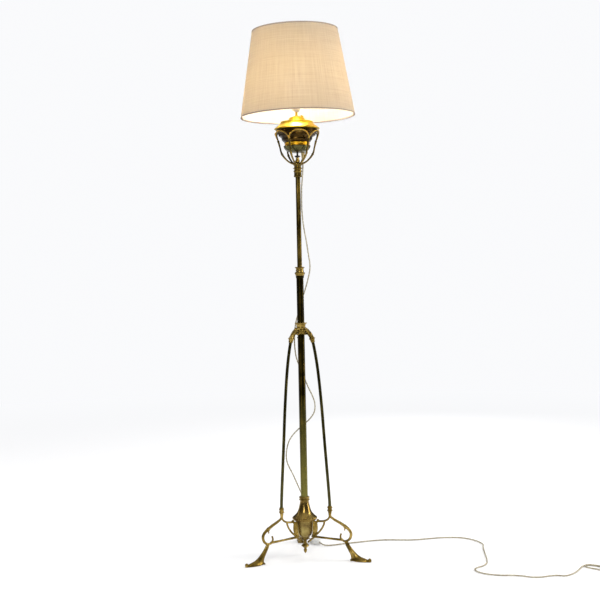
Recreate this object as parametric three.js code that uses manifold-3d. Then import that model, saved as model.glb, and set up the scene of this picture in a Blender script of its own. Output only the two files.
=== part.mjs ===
// Telescopic brass standard lamp on three bowed legs, with an oil font turned into a lamp base
// and a tapered fabric shade. Millimetres, +Z up. The column's axis is x = 0, y = AXIS_Y.
import * as THREE from "three";
import { mergeVertices } from "three/addons/utils/BufferGeometryUtils.js";
import Module from "manifold-3d";

const wasm = await Module();
wasm.setup();

// ---------------------------------------------------------------- driving dimensions
const GAP = 0.3; // between touching pieces
const RUN = 0.35; // radial clearance of sliding and turning fits
const THIRD = (2 * Math.PI) / 3; // angle between neighbouring legs

const FOOT_REACH = 220; // column axis to the tip of a foot
const FOOT_HEEL = 153; // column axis to the heel of a foot
const LEG_R = 85.3; // column axis to a leg tube at its lower socket
const LEG_TUBE_R = 4.65;
const BAR_R = 2.8; // bars of the leg castings
const CASTING_SEAT = 146.5; // floor of the lower leg sockets

const OUTER_R = 11; // outer tube of the column
const OUTER_BOTTOM = 140;
const OUTER_TOP = 866;
const TUBE_WALL = 1.2;
const INNER_R = 7.3; // sliding tube
const INNER_BOTTOM = 520;
const INNER_TOP = 1179;
const COLLAR_Z = 893; // top of the telescope clamp
const SPIDER_TOP = 722;

const COVER_R = 39; // rim of the bell cover on the urn
const COVER_RIM_Z = 121;
const COVER_TOP = 171;
const URN_R = 26;
const URN_TOP = 117;
const URN_BOTTOM = 56.3;
const ROD_R = 4.7; // tie rod under the urn

const SOCKET_BOTTOM = 1167.5; // head socket on the sliding tube
const HUB_Z = 1200; // foot of the cage
const CAGE_BARS = 6;
const CAGE_SPRING_Z = 1277; // where the arches leave the uprights
const CAGE_SPRING_R = 58;
const ARCH_RISE = 28;
const ARCH_LEAN = 9;
const FONT_BOTTOM = 1243;
const FONT_BAND_Z = 1262.5;
const FONT_BODY_Z = 1273.3;
const GALLERY_Z = 1302.3;
const RIM_Z = 1313.3; // underside of the drip plate
const RIM_R = 69;
const STEM_R = 3;

const HOLDER_Z = 1366;
const CARRIER_Z = 1398; // shade carrier's foot, clamped on the lamp holder
const CARRIER_TOP = 1570;
const CARRIER_R = 50;
const BULB_Z = 1462;
const BULB_R = 30;
const BULB_WALL = 1.2;

const SHADE_BOTTOM = 1352;
const SHADE_TOP = 1614;
const SHADE_BOTTOM_R = 175;
const SHADE_TOP_R = 131;
const SHADE_WALL = 1.4;
const SHADE_SIDES = 32;
const SHADE_TILT = THREE.MathUtils.degToRad(-1);
const SHADE_RING_R = 1.6;
const SPIDER_LIFT = 4.6; // from the carrier's ring to the ring of the shade's own wires

const CORD_R = 2.2;
const RUN_LENGTH = 84; // straight run of the hank
const HANK_INNER_R = 11.5;
const HANK_OUTER_R = 20.6;
const HANK_HEIGHT = 4.6;
const SWITCH_LENGTH = 46;
const SWITCH_WIDTH = 22;
const SWITCH_HEIGHT = 15;

const AXIS_Y = (SHADE_BOTTOM_R - FOOT_REACH) / 2; // puts the box's centre on the origin

// ---------------------------------------------------------------- materials
const metal = (color, roughness) => () =>
  new THREE.MeshStandardMaterial({ color, roughness, metalness: 1 });
const plain = (color, roughness) => () =>
  new THREE.MeshStandardMaterial({ color, roughness, metalness: 0 });
const agedBrass = metal(0x5a4a1e, 0.38);
const goldBrass = metal(0x9a7a2c, 0.34);
const blackMetal = metal(0x17130e, 0.5);
const steel = metal(0xb8b8b4, 0.3);
const cream = plain(0xe8dcc0, 0.45);
const whitePlastic = plain(0xe6e6e2, 0.4);
const clearGold = plain(0xcdbb8c, 0.35);
const linen = plain(0xd9c6a4, 0.9);
const tape = plain(0x8f8478, 0.85);
const glass = plain(0xfff3da, 0.15);

// ---------------------------------------------------------------- geometry helpers
const lampGroup = new THREE.Group();
lampGroup.position.y = AXIS_Y;

function add(name, geometry, material, parent = lampGroup) {
  const mesh = new THREE.Mesh(geometry, material());
  mesh.name = name;
  parent.add(mesh);
  return mesh;
}

// A turned piece: profile points are [radius, z], with the outer side running upwards.
function turned(profile, sides = 16) {
  const points = profile.map(([r, z]) => new THREE.Vector2(r, z));
  return new THREE.LatheGeometry(points, sides).rotateX(Math.PI / 2);
}

// A turned piece with a through hole: the profile closes on itself.
function turnedRing(profile, sides = 16) {
  return turned([...profile, profile[0]], sides);
}

// A plain sleeve between two radii and two heights.
function sleeve(inner, outer, bottom, top, sides = 16) {
  return turnedRing(
    [
      [inner, bottom],
      [outer, bottom],
      [outer, top],
      [inner, top],
    ],
    sides,
  );
}

function polygon(radius, sides) {
  const points = [];
  for (let i = 0; i < sides; i++) {
    const angle = (2 * Math.PI * i) / sides;
    points.push(new THREE.Vector2(radius * Math.cos(angle), radius * Math.sin(angle)));
  }
  return new THREE.Shape(points);
}

// A round bar along a smooth curve through the points.
function bar(points, radius, steps, sides = 5) {
  const path = new THREE.CatmullRomCurve3(points, false, "centripetal");
  return new THREE.ExtrudeGeometry(polygon(radius, sides), { steps, extrudePath: path });
}

// A closed skin over rings of points; each ring has as many points and lies above the last one.
function loft(rings) {
  const count = rings[0].length;
  const vertices = rings.flat();
  const faces = [];
  for (let k = 0; k + 1 < rings.length; k++) {
    for (let i = 0; i < count; i++) {
      const j = (i + 1) % count;
      const low = k * count;
      const high = low + count;
      faces.push(low + i, low + j, high + j, low + i, high + j, high + i);
    }
  }
  const last = (rings.length - 1) * count;
  for (let i = 1; i + 1 < count; i++) {
    faces.push(0, i + 1, i, last, last + i, last + i + 1);
  }
  const geometry = new THREE.BufferGeometry().setFromPoints(vertices);
  geometry.setIndex(faces);
  return geometry;
}

function toSolid(geometry) {
  const bare = geometry.clone();
  bare.deleteAttribute("normal");
  bare.deleteAttribute("uv");
  const merged = mergeVertices(bare, 1e-4);
  const triVerts = new Uint32Array(merged.index.array);
  const vertProperties = merged.attributes.position.array;
  return new wasm.Manifold(new wasm.Mesh({ numProp: 3, vertProperties, triVerts }));
}

function toGeometry(solid) {
  const mesh = solid.getMesh();
  const geometry = new THREE.BufferGeometry();
  geometry.setAttribute("position", new THREE.BufferAttribute(mesh.vertProperties, 3));
  geometry.setIndex(new THREE.BufferAttribute(mesh.triVerts, 1));
  geometry.computeVertexNormals();
  return geometry;
}

function joined(...geometries) {
  return toGeometry(geometries.map(toSolid).reduce((whole, piece) => whole.add(piece)));
}

function cut(geometry, ...tools) {
  return toGeometry(tools.map(toSolid).reduce((rest, tool) => rest.subtract(tool), toSolid(geometry)));
}

const at = (x, y, z) => new THREE.Vector3(x, y, z);
// Leg parts are drawn in the plane of one leg: distance from the column's axis, and height.
const inLegPlane = (points) => points.map(([r, z]) => at(0, r, z));

// Turns a geometry about the column's axis, clockwise from above.
const swung = (geometry, angle) => geometry.clone().rotateZ(-angle);

// ---------------------------------------------------------------- column
function outerTube() {
  return sleeve(OUTER_R - TUBE_WALL, OUTER_R, OUTER_BOTTOM, OUTER_TOP, 20);
}

function innerTube() {
  return sleeve(INNER_R - 1, INNER_R, INNER_BOTTOM, INNER_TOP, 20);
}

// Brass sleeve at the lower end of the sliding tube, which centres it in the outer tube.
function slideBush() {
  const bore = OUTER_R - TUBE_WALL - RUN;
  const foot = INNER_BOTTOM - 8;
  return turnedRing([
    [4, foot],
    [bore, foot],
    [bore, INNER_BOTTOM - GAP],
    [4, INNER_BOTTOM - GAP],
  ], 20);
}

// Fixed half of the telescope clamp: a ringed ferrule on the top of the outer tube.
function clampBody() {
  return turnedRing([
    [OUTER_R + GAP, 858],
    [12.2, 858],
    [12.6, 864],
    [15.2, 871.5],
    [15.2, 875],
    [12.4, 877.5],
    [12.4, 880],
    [8.9, 880],
    [8.9, OUTER_TOP + GAP],
    [OUTER_R + GAP, OUTER_TOP + GAP],
  ], 16);
}

function clampNut() {
  return turnedRing([
    [8.9, 880.4],
    [12.2, 880.4],
    [11.6, 885],
    [15.2, 890],
    [15.2, 891.6],
    [12, COLLAR_Z],
    [INNER_R + RUN, COLLAR_Z],
    [INNER_R + RUN, 889],
    [8.9, 888],
  ], 20);
}

// Split collet between the clamp and the sliding tube.
function clampCollet() {
  return sleeve(INNER_R + RUN, 8.5, 867, 887, 20);
}

// ---------------------------------------------------------------- spider
const SPIDER_SOCKET = { r: 37.4, z: 671, lean: 0.24 };

function legSocketTop() {
  const cup = [
    [0, 7],
    [5.3, 7],
    [5.3, -14],
    [6.4, -14],
    [6.6, -2],
    [8.2, 1],
    [8.2, 3],
    [5, 12],
    [0, 14],
  ];
  return turned(cup, 10)
    .rotateX(SPIDER_SOCKET.lean)
    .translate(0, SPIDER_SOCKET.r, SPIDER_SOCKET.z);
}

// One arm: two ribs side by side from the collar to its leg socket.
function spiderArm() {
  const ribs = [-3.6, 3.6].map((x) =>
    bar([at(x, 12, 703), at(x, 21, 701), at(x, 29, 693.5), at(x * 0.5, 35, 678)], 3, 4, 4),
  );
  return joined(legSocketTop(), ...ribs);
}

// Pierced rosette between two arms, with a scroll to each side.
function spiderRosette() {
  const disc = sleeve(2.2, 7, -2, 2.5, 8)
    .rotateX(-Math.PI / 2)
    .translate(0, 14.6, 694);
  const scrolls = [-1, 1].map((side) =>
    bar([at(side * 4, 14.8, 690), at(side * 11, 13.6, 686.5), at(side * 17.5, 13.5, 688.5)], 2.6, 2, 4),
  );
  return joined(disc, ...scrolls);
}

function spider() {
  const collar = turnedRing([
    [OUTER_R + GAP, 688],
    [13.6, 688],
    [13.8, 700],
    [15.6, 705],
    [14.6, 714],
    [18.5, 719.5],
    [18.5, SPIDER_TOP - 1],
    [14, SPIDER_TOP],
    [OUTER_R + GAP, SPIDER_TOP],
  ]);
  const around = [0, 1, 2].flatMap((i) => [
    swung(spiderArm(), i * THIRD),
    swung(spiderRosette(), (i + 0.5) * THIRD),
  ]);
  const bore = sleeve(0, OUTER_R + GAP, 660, 730, 20);
  return cut(joined(collar, ...around), bore);
}

// ---------------------------------------------------------------- legs
function legTube() {
  const path = inLegPlane([
    [LEG_R, CASTING_SEAT + GAP],
    [LEG_R, 166],
    [82.4, 215],
    [77.8, 279],
    [70.8, 377],
    [65.2, 460],
    [57.4, 548],
    [51.6, 596],
    [45.4, 634],
    [39, 664.5],
    [36.3, 675.5],
  ]);
  return bar(path, LEG_TUBE_R, 18, 10);
}

function legSocketBottom() {
  return turned([
    [0, 127],
    [4.4, 127],
    [6, 143],
    [8.7, 147.5],
    [6.8, 152.5],
    [8.5, 157],
    [6.6, 161],
    [5.2, 161],
    [5.2, CASTING_SEAT],
    [0, CASTING_SEAT],
  ], 10).translate(0, LEG_R, 0);
}

// Foot: oval sections from the ankle down to the flat sole, given as
// [height, distance from the column's axis, half length, half width].
function foot() {
  const sections = [
    [0, (FOOT_HEEL + FOOT_REACH) / 2, (FOOT_REACH - FOOT_HEEL) / 2, 12.5],
    [5, 185, 31, 11.4],
    [13, 169, 16.5, 8],
    [26, 157, 9, 5.6],
    [42, 145.5, 5.6, 4],
    [58, 137.5, 3, 3],
  ];
  const sides = 12;
  const rings = sections.map(([z, r, halfLength, halfWidth]) => {
    const ring = [];
    for (let i = 0; i < sides; i++) {
      const angle = (2 * Math.PI * i) / sides;
      ring.push(at(halfWidth * Math.cos(angle), r + halfLength * Math.sin(angle), z));
    }
    return ring;
  });
  return loft(rings);
}

// Flat web between the urn and the quarter arc, which takes the screws of the urn.
function legWeb() {
  const outline = new THREE.Shape();
  outline.moveTo(URN_R + 1, 111);
  outline.lineTo(URN_R + 1, 84);
  outline.quadraticCurveTo(URN_R - 0.5, 68, 19.5, 59);
  outline.lineTo(27, 59);
  outline.quadraticCurveTo(43, 73, 43.5, 92);
  outline.lineTo(42, 106);
  outline.lineTo(50, 111);
  outline.lineTo(44.5, 117.5);
  outline.lineTo(40.5, 111);
  const depth = 3;
  const turn = new THREE.Matrix4().makeBasis(at(0, 1, 0), at(0, 0, 1), at(1, 0, 0));
  const web = new THREE.ExtrudeGeometry(outline, { depth, bevelEnabled: false, curveSegments: 3 });
  return web.applyMatrix4(turn).translate(-depth / 2, 0, 0);
}

function legCasting() {
  const scroll = [
    [86, 131], [93, 125], [105, 117.5], [120, 110.5], [136, 100], [147.5, 93], [154, 81], [151, 67],
    [140, 56], [127, 58], [119, 66], [121, 76],
  ];
  const inner = [[84.6, 131], [79, 119.5], [67.5, 112.7], [53, 110.4], [41, 108.4]];
  const arc = [[66.2, 112], [61, 94.3], [50, 80], [34, 64]];
  const brace = [[125, 59.5], [33, 61.5]];
  const toRod = [[34, 62], [ROD_R + 3.2, 41.5]];
  const knuckle = turned([[0, -4], [4.8, -2.4], [4.8, 2.4], [0, 4]], 6)
    .rotateX(0.58 + Math.PI / 2)
    .translate(0, 137, 99.3);
  return joined(
    legSocketBottom(),
    bar(inLegPlane(scroll), BAR_R, 18),
    bar(inLegPlane(inner), BAR_R, 6),
    bar(inLegPlane(arc), BAR_R, 4),
    bar(inLegPlane(brace), BAR_R, 1),
    bar(inLegPlane(toRod), BAR_R, 1),
    knuckle,
    legWeb(),
    foot(),
  );
}

// ---------------------------------------------------------------- urn
function urnRing() {
  return turnedRing([
    [OUTER_R + GAP, COVER_TOP + GAP],
    [13.6, COVER_TOP + GAP],
    [17, 175],
    [14.6, 178.5],
    [16.8, 182],
    [14, 185],
    [OUTER_R + GAP, 185],
  ]);
}

function urnCover() {
  return turnedRing([
    [COVER_R - 5, 112],
    [COVER_R - 3.5, 112],
    [COVER_R - 1, 117],
    [COVER_R, COVER_RIM_Z],
    [27, 131],
    [20.5, 141],
    [16, 154],
    [13.6, COVER_TOP],
    [OUTER_R + GAP, COVER_TOP],
    [14.2, 152],
    [18.8, 140],
    [25.6, 129.5],
    [COVER_R - 2.6, 120],
  ], 20);
}

function urnBowl() {
  return turnedRing([
    [ROD_R + GAP, URN_BOTTOM],
    [13.4, URN_BOTTOM],
    [23.4, 70],
    [25.6, 86],
    [URN_R, URN_TOP],
    [URN_R - 1.5, URN_TOP],
    [24.1, 86],
    [22, 71],
    [13, 58.5],
    [ROD_R + GAP, 58.5],
  ], 20);
}

function urnCup() {
  return turnedRing([
    [ROD_R + GAP, 50.4],
    [10.8, 50.4],
    [13.2, 53],
    [12, URN_BOTTOM - GAP],
    [ROD_R + GAP, URN_BOTTOM - GAP],
  ]);
}

// Threaded plug in the foot of the outer tube, which the tie rod screws into.
function tubePlug() {
  return sleeve(4.3, OUTER_R - TUBE_WALL - GAP, OUTER_BOTTOM + 2, OUTER_BOTTOM + 20);
}

function tieRod() {
  return turned([
    [0, 30],
    [ROD_R, 30],
    [ROD_R, 135],
    [4, 136],
    [4, 158],
    [0, 159],
  ], 14);
}

function baseKnob() {
  return turnedRing([
    [3, 25],
    [6.2, 25],
    [9.5, 27.5],
    [12.5, 31],
    [12.5, 32.5],
    [8, 36.5],
    [6.4, 38],
    [ROD_R + GAP, 38],
    [ROD_R + GAP, 29.6],
    [3, 29.6],
  ], 16);
}

function acorn() {
  return turned([
    [0, 7.5],
    [2.6, 9],
    [4.8, 13],
    [5.6, 17.5],
    [4.6, 21.5],
    [4.4, 24.7],
    [2.6, 24.7],
    [2.6, 29],
    [0, 29.2],
  ], 14);
}

// ---------------------------------------------------------------- head
function headSocket() {
  return turned([
    [0, 1180.5],
    [INNER_R + GAP, 1180.5],
    [INNER_R + GAP, SOCKET_BOTTOM],
    [10.6, SOCKET_BOTTOM],
    [12, 1169],
    [12, 1186],
    [12.8, 1188],
    [10.4, 1190],
    [10.8, 1192],
    [14.4, 1194],
    [14.4, 1195.5],
    [10.6, 1197.5],
    [10.2, HUB_Z - GAP],
    [0, HUB_Z - GAP],
  ], 20);
}

// Cage: a hub with six uprights that carry six leaning arches.
function fontCage() {
  const hub = turned([
    [0, HUB_Z],
    [11.4, HUB_Z],
    [11.8, 1205],
    [13, 1209],
    [11, 1212.5],
    [5, 1213.5],
    [STEM_R + GAP, 1213.5],
    [STEM_R + GAP, 1204],
    [0, 1204],
  ]);
  const stem = [[8, 1208], [22, 1211.5], [35, 1221.5], [47, 1237], [52, 1256]];
  const upright = bar(inLegPlane([...stem, [CAGE_SPRING_R, CAGE_SPRING_Z]]), 2.4, 7, 4);
  const knop = turned([[0, -3.4], [3.8, 0], [0, 3.4]], 4);
  const half = Math.PI / CAGE_BARS;
  const archPoints = [];
  for (let i = 0; i <= 8; i++) {
    const t = (Math.PI * i) / 8;
    const r = CAGE_SPRING_R + ARCH_LEAN * Math.sin(t);
    const angle = half - half * Math.cos(t);
    archPoints.push(at(r * Math.sin(angle), r * Math.cos(angle), CAGE_SPRING_Z + ARCH_RISE * Math.sin(t)));
  }
  const arch = bar(archPoints, 2.2, 7, 4);
  const bayParts = [
    upright,
    arch,
    knop.translate(0, 47, 1237),
  ];
  const bays = [];
  for (let i = 0; i < CAGE_BARS; i++) {
    const angle = (i / CAGE_BARS) * 2 * Math.PI;
    bays.push(...bayParts.map((piece) => swung(piece, angle)));
  }
  return joined(hub, ...bays);
}

function stemCone() {
  return turnedRing([
    [STEM_R + GAP, 1213.8],
    [6.8, 1213.8],
    [7.6, 1217],
    [5.4, 1221],
    [4.6, 1226.5],
    [STEM_R + GAP, 1226.5],
  ], 16);
}

function stemNut() {
  const ring = sleeve(STEM_R + GAP, 6.4, 1227.5, 1233.5, 12);
  const wings = [-1, 1].map((side) => bar([at(side * 5, 0, 1230.5), at(side * 8.6, 0, 1231.5)], 1.8, 1, 8));
  return joined(ring, ...wings);
}

function fontStem() {
  return turned([
    [0, 1204 + GAP],
    [STEM_R, 1204 + GAP],
    [STEM_R, 1254],
    [0, 1254],
  ], 12);
}

// Nut inside the font that draws its bowl down on the stem.
function fontNut() {
  return sleeve(STEM_R + GAP, 7, FONT_BOTTOM + 2.5, FONT_BOTTOM + 7.5, 12);
}

function fontBowl() {
  return turnedRing([
    [STEM_R + GAP, FONT_BOTTOM],
    [21, FONT_BOTTOM],
    [28, 1245],
    [35, 1249.5],
    [39.6, 1255],
    [41.5, FONT_BAND_Z - GAP],
    [39.8, FONT_BAND_Z - GAP],
    [38, 1256],
    [33.8, 1251.2],
    [27.4, 1247],
    [21, FONT_BOTTOM + 2],
    [STEM_R + GAP, FONT_BOTTOM + 2],
  ], 20);
}

function fontBand() {
  return turnedRing([
    [36, FONT_BAND_Z],
    [38.6, FONT_BAND_Z],
    [37.6, 1267.5],
    [39, 1271],
    [38.6, FONT_BODY_Z - GAP],
    [36, FONT_BODY_Z - GAP],
  ], 20);
}

// Ribbed oil reservoir, open to the gallery above.
function fontBody() {
  return turnedRing([
    [36, FONT_BODY_Z],
    [39, FONT_BODY_Z],
    [47.5, 1282],
    [47, 1285.5],
    [56.5, 1293.5],
    [56, 1296.5],
    [61, GALLERY_Z - GAP],
    [59.4, GALLERY_Z - GAP],
    [54, 1297.5],
    [45, 1287],
    [36, 1275],
  ], 20);
}

function galleryRing() {
  return sleeve(61, 63, GALLERY_Z, RIM_Z - GAP, 20);
}

function dripPlate() {
  return turnedRing([
    [60, RIM_Z],
    [RIM_R, RIM_Z],
    [RIM_R, 1315.5],
    [60, 1323],
    [52, 1329],
    [50.6, 1331.5],
    [49, 1331.5],
    [50, 1328],
    [58.6, 1321.6],
    [64, 1316.5],
    [60, 1315.3],
  ], 20);
}

// Stepped lid of the font with its dome, bored for the filler and the lamp holder's stem.
const FILLER = new THREE.Vector3(14.8, -8.6, 1350);
const FILLER_AXIS = new THREE.Vector3(0.4325, -0.251, 0.866);

function fontLid() {
  return turnedRing([
    [STEM_R + GAP, 1351],
    [12, 1349],
    [20, 1343],
    [22.4, 1339.4],
    [46, 1336.4],
    [47.4, 1331.8],
    [49.2, 1331.8],
    [49.2, 1337],
    [24.6, 1341],
    [22, 1346.5],
    [13, 1352.3],
    [STEM_R + GAP, 1353.7],
  ], 20);
}

function fillerCap() {
  return turned([
    [0, 0.4],
    [3.6, 0.4],
    [3.6, 1.4],
    [4.6, 1.8],
    [4.6, 4.2],
    [3.8, 4.8],
    [0, 5],
  ], 12);
}

function holderStem() {
  return turnedRing([
    [1.6, 1354],
    [5.6, 1354],
    [3.6, 1357.5],
    [4.6, 1360.5],
    [3.2, 1363],
    [4.2, HOLDER_Z - GAP],
    [1.6, HOLDER_Z - GAP],
  ], 14);
}

function holderCap() {
  return turnedRing([
    [2, HOLDER_Z],
    [6.5, HOLDER_Z],
    [10.5, HOLDER_Z + 3],
    [11.6, HOLDER_Z + 8],
    [11.6, HOLDER_Z + 13.7],
    [9.8, HOLDER_Z + 13.7],
    [9.8, HOLDER_Z + 8],
    [8.6, HOLDER_Z + 4],
    [2, HOLDER_Z + 2],
  ]);
}

// Insulating core with its two sprung contacts, inside the cap and barrel.
function holderCore() {
  const core = turned([
    [0, HOLDER_Z + 6],
    [7.6, HOLDER_Z + 6],
    [9.3, HOLDER_Z + 12],
    [9.3, HOLDER_Z + 18],
    [0, HOLDER_Z + 18],
  ]);
  const contacts = [-3.2, 3.2].map((x) =>
    turned([[0, HOLDER_Z + 17], [1.5, HOLDER_Z + 17], [1.5, HOLDER_Z + 22.5], [0, HOLDER_Z + 22.5]], 8)
      .translate(x, 0, 0),
  );
  return joined(core, ...contacts);
}

function holderBarrel() {
  return sleeve(11.4, 12.8, HOLDER_Z + 14, HOLDER_Z + 38);
}

function holderRing(bottom) {
  return turnedRing([
    [12.8 + GAP, bottom],
    [17, bottom],
    [17, bottom + 2],
    [14.6, bottom + 3.6],
    [12.8 + GAP, bottom + 3.6],
  ], 20);
}

function bulbCap() {
  return turned([
    [0, HOLDER_Z + 22.9],
    [10.4, HOLDER_Z + 23],
    [10.8, HOLDER_Z + 25],
    [10.8, HOLDER_Z + 46],
    [0, HOLDER_Z + 46],
  ], 16);
}

// Hollow bulb, open at the neck where the cap closes it.
function bulbGlass() {
  const neck = HOLDER_Z + 46 + GAP;
  const outer = [[12.5, neck], [14, neck + 6]];
  const inner = [[12.5 - BULB_WALL, neck], [14 - BULB_WALL, neck + 6]];
  for (let i = 0; i < 7; i++) {
    const angle = THREE.MathUtils.degToRad(-40 + (130 * i) / 7);
    [[outer, BULB_R], [inner, BULB_R - BULB_WALL]].forEach(([profile, radius]) =>
      profile.push([radius * Math.cos(angle), BULB_Z + radius * Math.sin(angle)]),
    );
  }
  const tops = [[0, BULB_Z + BULB_R], [0, BULB_Z + BULB_R - BULB_WALL]];
  return turned([...outer, ...tops, ...inner.reverse(), outer[0]], 18);
}

// Wire carrier: a ring on the holder, three bowed wires and the ring that the shade rests on.
function shadeCarrier() {
  const foot = sleeve(12.8 + GAP, 21, CARRIER_Z, CARRIER_Z + 1.6);
  const seat = new THREE.TorusGeometry(CARRIER_R, 1.6, 4, 20).translate(0, 0, CARRIER_TOP);
  const bow = [[19.3, CARRIER_Z + 1], [34, 1412], [45, 1445], [46, 1500], [46, 1545]];
  const wire = bar(inLegPlane([...bow, [CARRIER_R, CARRIER_TOP]]), 1.6, 6, 4);
  return joined(foot, seat, ...[0, 1, 2].map((i) => swung(wire, (i + 0.25) * THIRD)));
}

// ---------------------------------------------------------------- shade
function shadeRadius(z) {
  const share = (z - SHADE_BOTTOM) / (SHADE_TOP - SHADE_BOTTOM);
  return SHADE_BOTTOM_R + (SHADE_TOP_R - SHADE_BOTTOM_R) * share;
}

function shadeFabric() {
  return turnedRing([
    [SHADE_BOTTOM_R - SHADE_WALL, SHADE_BOTTOM],
    [SHADE_BOTTOM_R, SHADE_BOTTOM],
    [SHADE_TOP_R, SHADE_TOP],
    [SHADE_TOP_R - SHADE_WALL, SHADE_TOP],
  ], SHADE_SIDES);
}

function shadeRing(z) {
  const radius = shadeRadius(z) - SHADE_WALL - 2 * GAP - SHADE_RING_R;
  return new THREE.TorusGeometry(radius, SHADE_RING_R, 4, SHADE_SIDES).translate(0, 0, z);
}

// Ring that sits on the carrier, with three wires up to the shade's top ring.
function shadeSpider() {
  const top = SHADE_TOP - SHADE_RING_R - 1;
  const reach = shadeRadius(top) - SHADE_WALL - 3 * GAP - 3.2 * SHADE_RING_R;
  const hub = new THREE.TorusGeometry(CARRIER_R, 1.6, 4, 20).translate(0, 0, CARRIER_TOP + SPIDER_LIFT);
  const arm = [[CARRIER_R, CARRIER_TOP + SPIDER_LIFT], [62, 1580], [84, 1596], [reach, top]];
  const wire = bar(inLegPlane(arm), 1.6, 4, 4);
  return joined(hub, ...[0, 1, 2].map((i) => swung(wire, (i + 0.75) * THIRD)));
}

// ---------------------------------------------------------------- cord and what is on it
// Centreline of the hanging stretch, from the strain relief under the font to the switch.
const HANGING = [
  [16.8, 9.1, 1221.4], [16.6, 8.9, 1190], [12.4, 12.6, 1140], [11.5, 14.6, 1100], [11.8, 14.9, 1062],
  [15.6, 13, 1018], [21.4, 10, 981], [26.4, 7, 944], [32.1, 5, 890], [24.6, 11.4, 850],
  [17.1, 13.8, 824], [4.2, 17, 785], [-6.6, 20, 748], [-14.6, 19.6, 718], [-18.3, 16.6, 690],
  [-19.7, 13.6, 659], [-16.1, 13.2, 618], [-6.8, 15.8, 588], [6.2, 15.4, 556], [20.5, 7.6, 519],
  [31.5, -0.5, 494], [38.1, -4, 470], [35.7, -1.8, 445], [20.4, 10.8, 420], [1.3, 16.8, 403],
  [-33.4, 5.6, 372], [-47.1, 3.7, 347], [-52.3, 4.1, 298], [-31.8, 13.5, 248], [-21.4, 23, 223],
  [-11, 36, 198], [-1, 50, 173], [9, 66, 152], [16, 86, 130], [19.5, 112, 106], [21, 138, 82],
  [21.5, 160, 60], [22, 180.6, 26], [24.7, 176, 13.3], [27.9, 170.4, 9.1], [32.4, 162.3, 8],
];
// Centreline on the floor, from the switch to the hank.
const LYING = [
  [55.6, 121.7, 8], [60, 114, 6.4], [68, 106, 3.6], [80, 102.5], [104, 106], [141, 119], [179, 127],
  [211, 136], [243, 142], [274, 143], [312, 137], [347, 130], [381, 131], [425, 139], [470, 143],
  [514, 134], [543, 110], [561, 77], [568, 38], [560, 4], [552, -40], [544, -90], [535, -142],
  [523, -184], [507, -207], [488, -221], [476, -236], [475, -256], [487, -281], [508, -299],
  [537, -311], [566, -315], [590, -325], [616, -342], [644, -344], [669, -336], [690, -335],
  [709, -343], [728, -334], [753, -310], [782, -267], [789.7, -256.7],
];
// Centreline from the hank, over its outer lane, to the plug's strain relief.
const TAIL = [
  [889.2, -305.9, 7.5], [896.2, -308.9, 7.5], [903.4, -311.5, 5], [910.6, -312.9, 2.9],
  [918.6, -311.1], [925.2, -306.1], [929, -298.8], [929.3, -290.6, 2.6], [926.4, -280.7, 4],
  [924.2, -273, 5.2],
];

const CORD_Z = CORD_R + 0.2;
const SWITCH_PLACE = { x: 44, y: 142, turn: -1.05 };
const HANK_PLACE = { x: 844, y: -287, turn: -0.75 };
const PLUG_PLACE = { x: 911, y: -230.2, turn: 0.3 };

const onFloor = (points) => points.map(([x, y, z = CORD_Z]) => at(x, y, z));

function strainRelief() {
  return turned([
    [0, 1221.8],
    [2.7, 1221.8],
    [3.4, 1230],
    [4.4, 1240],
    [5.6, 1241],
    [5.6, FONT_BOTTOM - GAP],
    [0, FONT_BOTTOM - GAP],
  ], 12).translate(HANGING[0][0], HANGING[0][1], 0);
}

function hankOutline(radius) {
  const shape = new THREE.Shape();
  const half = RUN_LENGTH / 2;
  shape.absarc(half, 0, radius, -Math.PI / 2, Math.PI / 2, false);
  shape.absarc(-half, 0, radius, Math.PI / 2, (3 * Math.PI) / 2, false);
  return shape;
}

// Outer shape of the folded hank, open along the middle.
function hank() {
  const shape = hankOutline(HANK_OUTER_R);
  shape.holes.push(hankOutline(HANK_INNER_R));
  const options = { depth: HANK_HEIGHT, bevelEnabled: false, curveSegments: 8 };
  return new THREE.ExtrudeGeometry(shape, options).translate(0, 0, 0.2);
}

// Tie round both runs of the hank, bent over from above.
function hankTie() {
  const outer = HANK_OUTER_R + 1.8;
  const loop = new THREE.Shape();
  loop.moveTo(-outer, 0.2);
  loop.lineTo(-HANK_OUTER_R - GAP, 0.2);
  loop.lineTo(-HANK_OUTER_R - GAP, HANK_HEIGHT + 0.5);
  loop.lineTo(HANK_OUTER_R + GAP, HANK_HEIGHT + 0.5);
  loop.lineTo(HANK_OUTER_R + GAP, 0.2);
  loop.lineTo(outer, 0.2);
  loop.lineTo(outer, HANK_HEIGHT + 2);
  loop.lineTo(-outer, HANK_HEIGHT + 2);
  const strip = new THREE.ExtrudeGeometry(loop, { depth: 8, bevelEnabled: false });
  return strip.rotateX(Math.PI / 2).rotateZ(Math.PI / 2).translate(-4, 0, 0);
}

// A block with round ends and a domed top edge, lying along x.
function capsule(length, width, bottom, top) {
  const half = (length - width) / 2;
  const shape = new THREE.Shape();
  shape.absarc(half, 0, width / 2, -Math.PI / 2, Math.PI / 2, false);
  shape.absarc(-half, 0, width / 2, Math.PI / 2, (3 * Math.PI) / 2, false);
  const options = { depth: top - bottom, bevelEnabled: false, curveSegments: 6 };
  return new THREE.ExtrudeGeometry(shape, options).translate(0, 0, bottom);
}

const ROCKER = { length: 14, width: 8, pivotZ: 13 };

function switchBody() {
  const block = capsule(SWITCH_LENGTH, SWITCH_WIDTH, 0.1, SWITCH_HEIGHT);
  const pocket = new THREE.BoxGeometry(ROCKER.length + 2.4, ROCKER.width + 1, 9);
  return cut(block, pocket.translate(0, 0, ROCKER.pivotZ));
}

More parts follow.
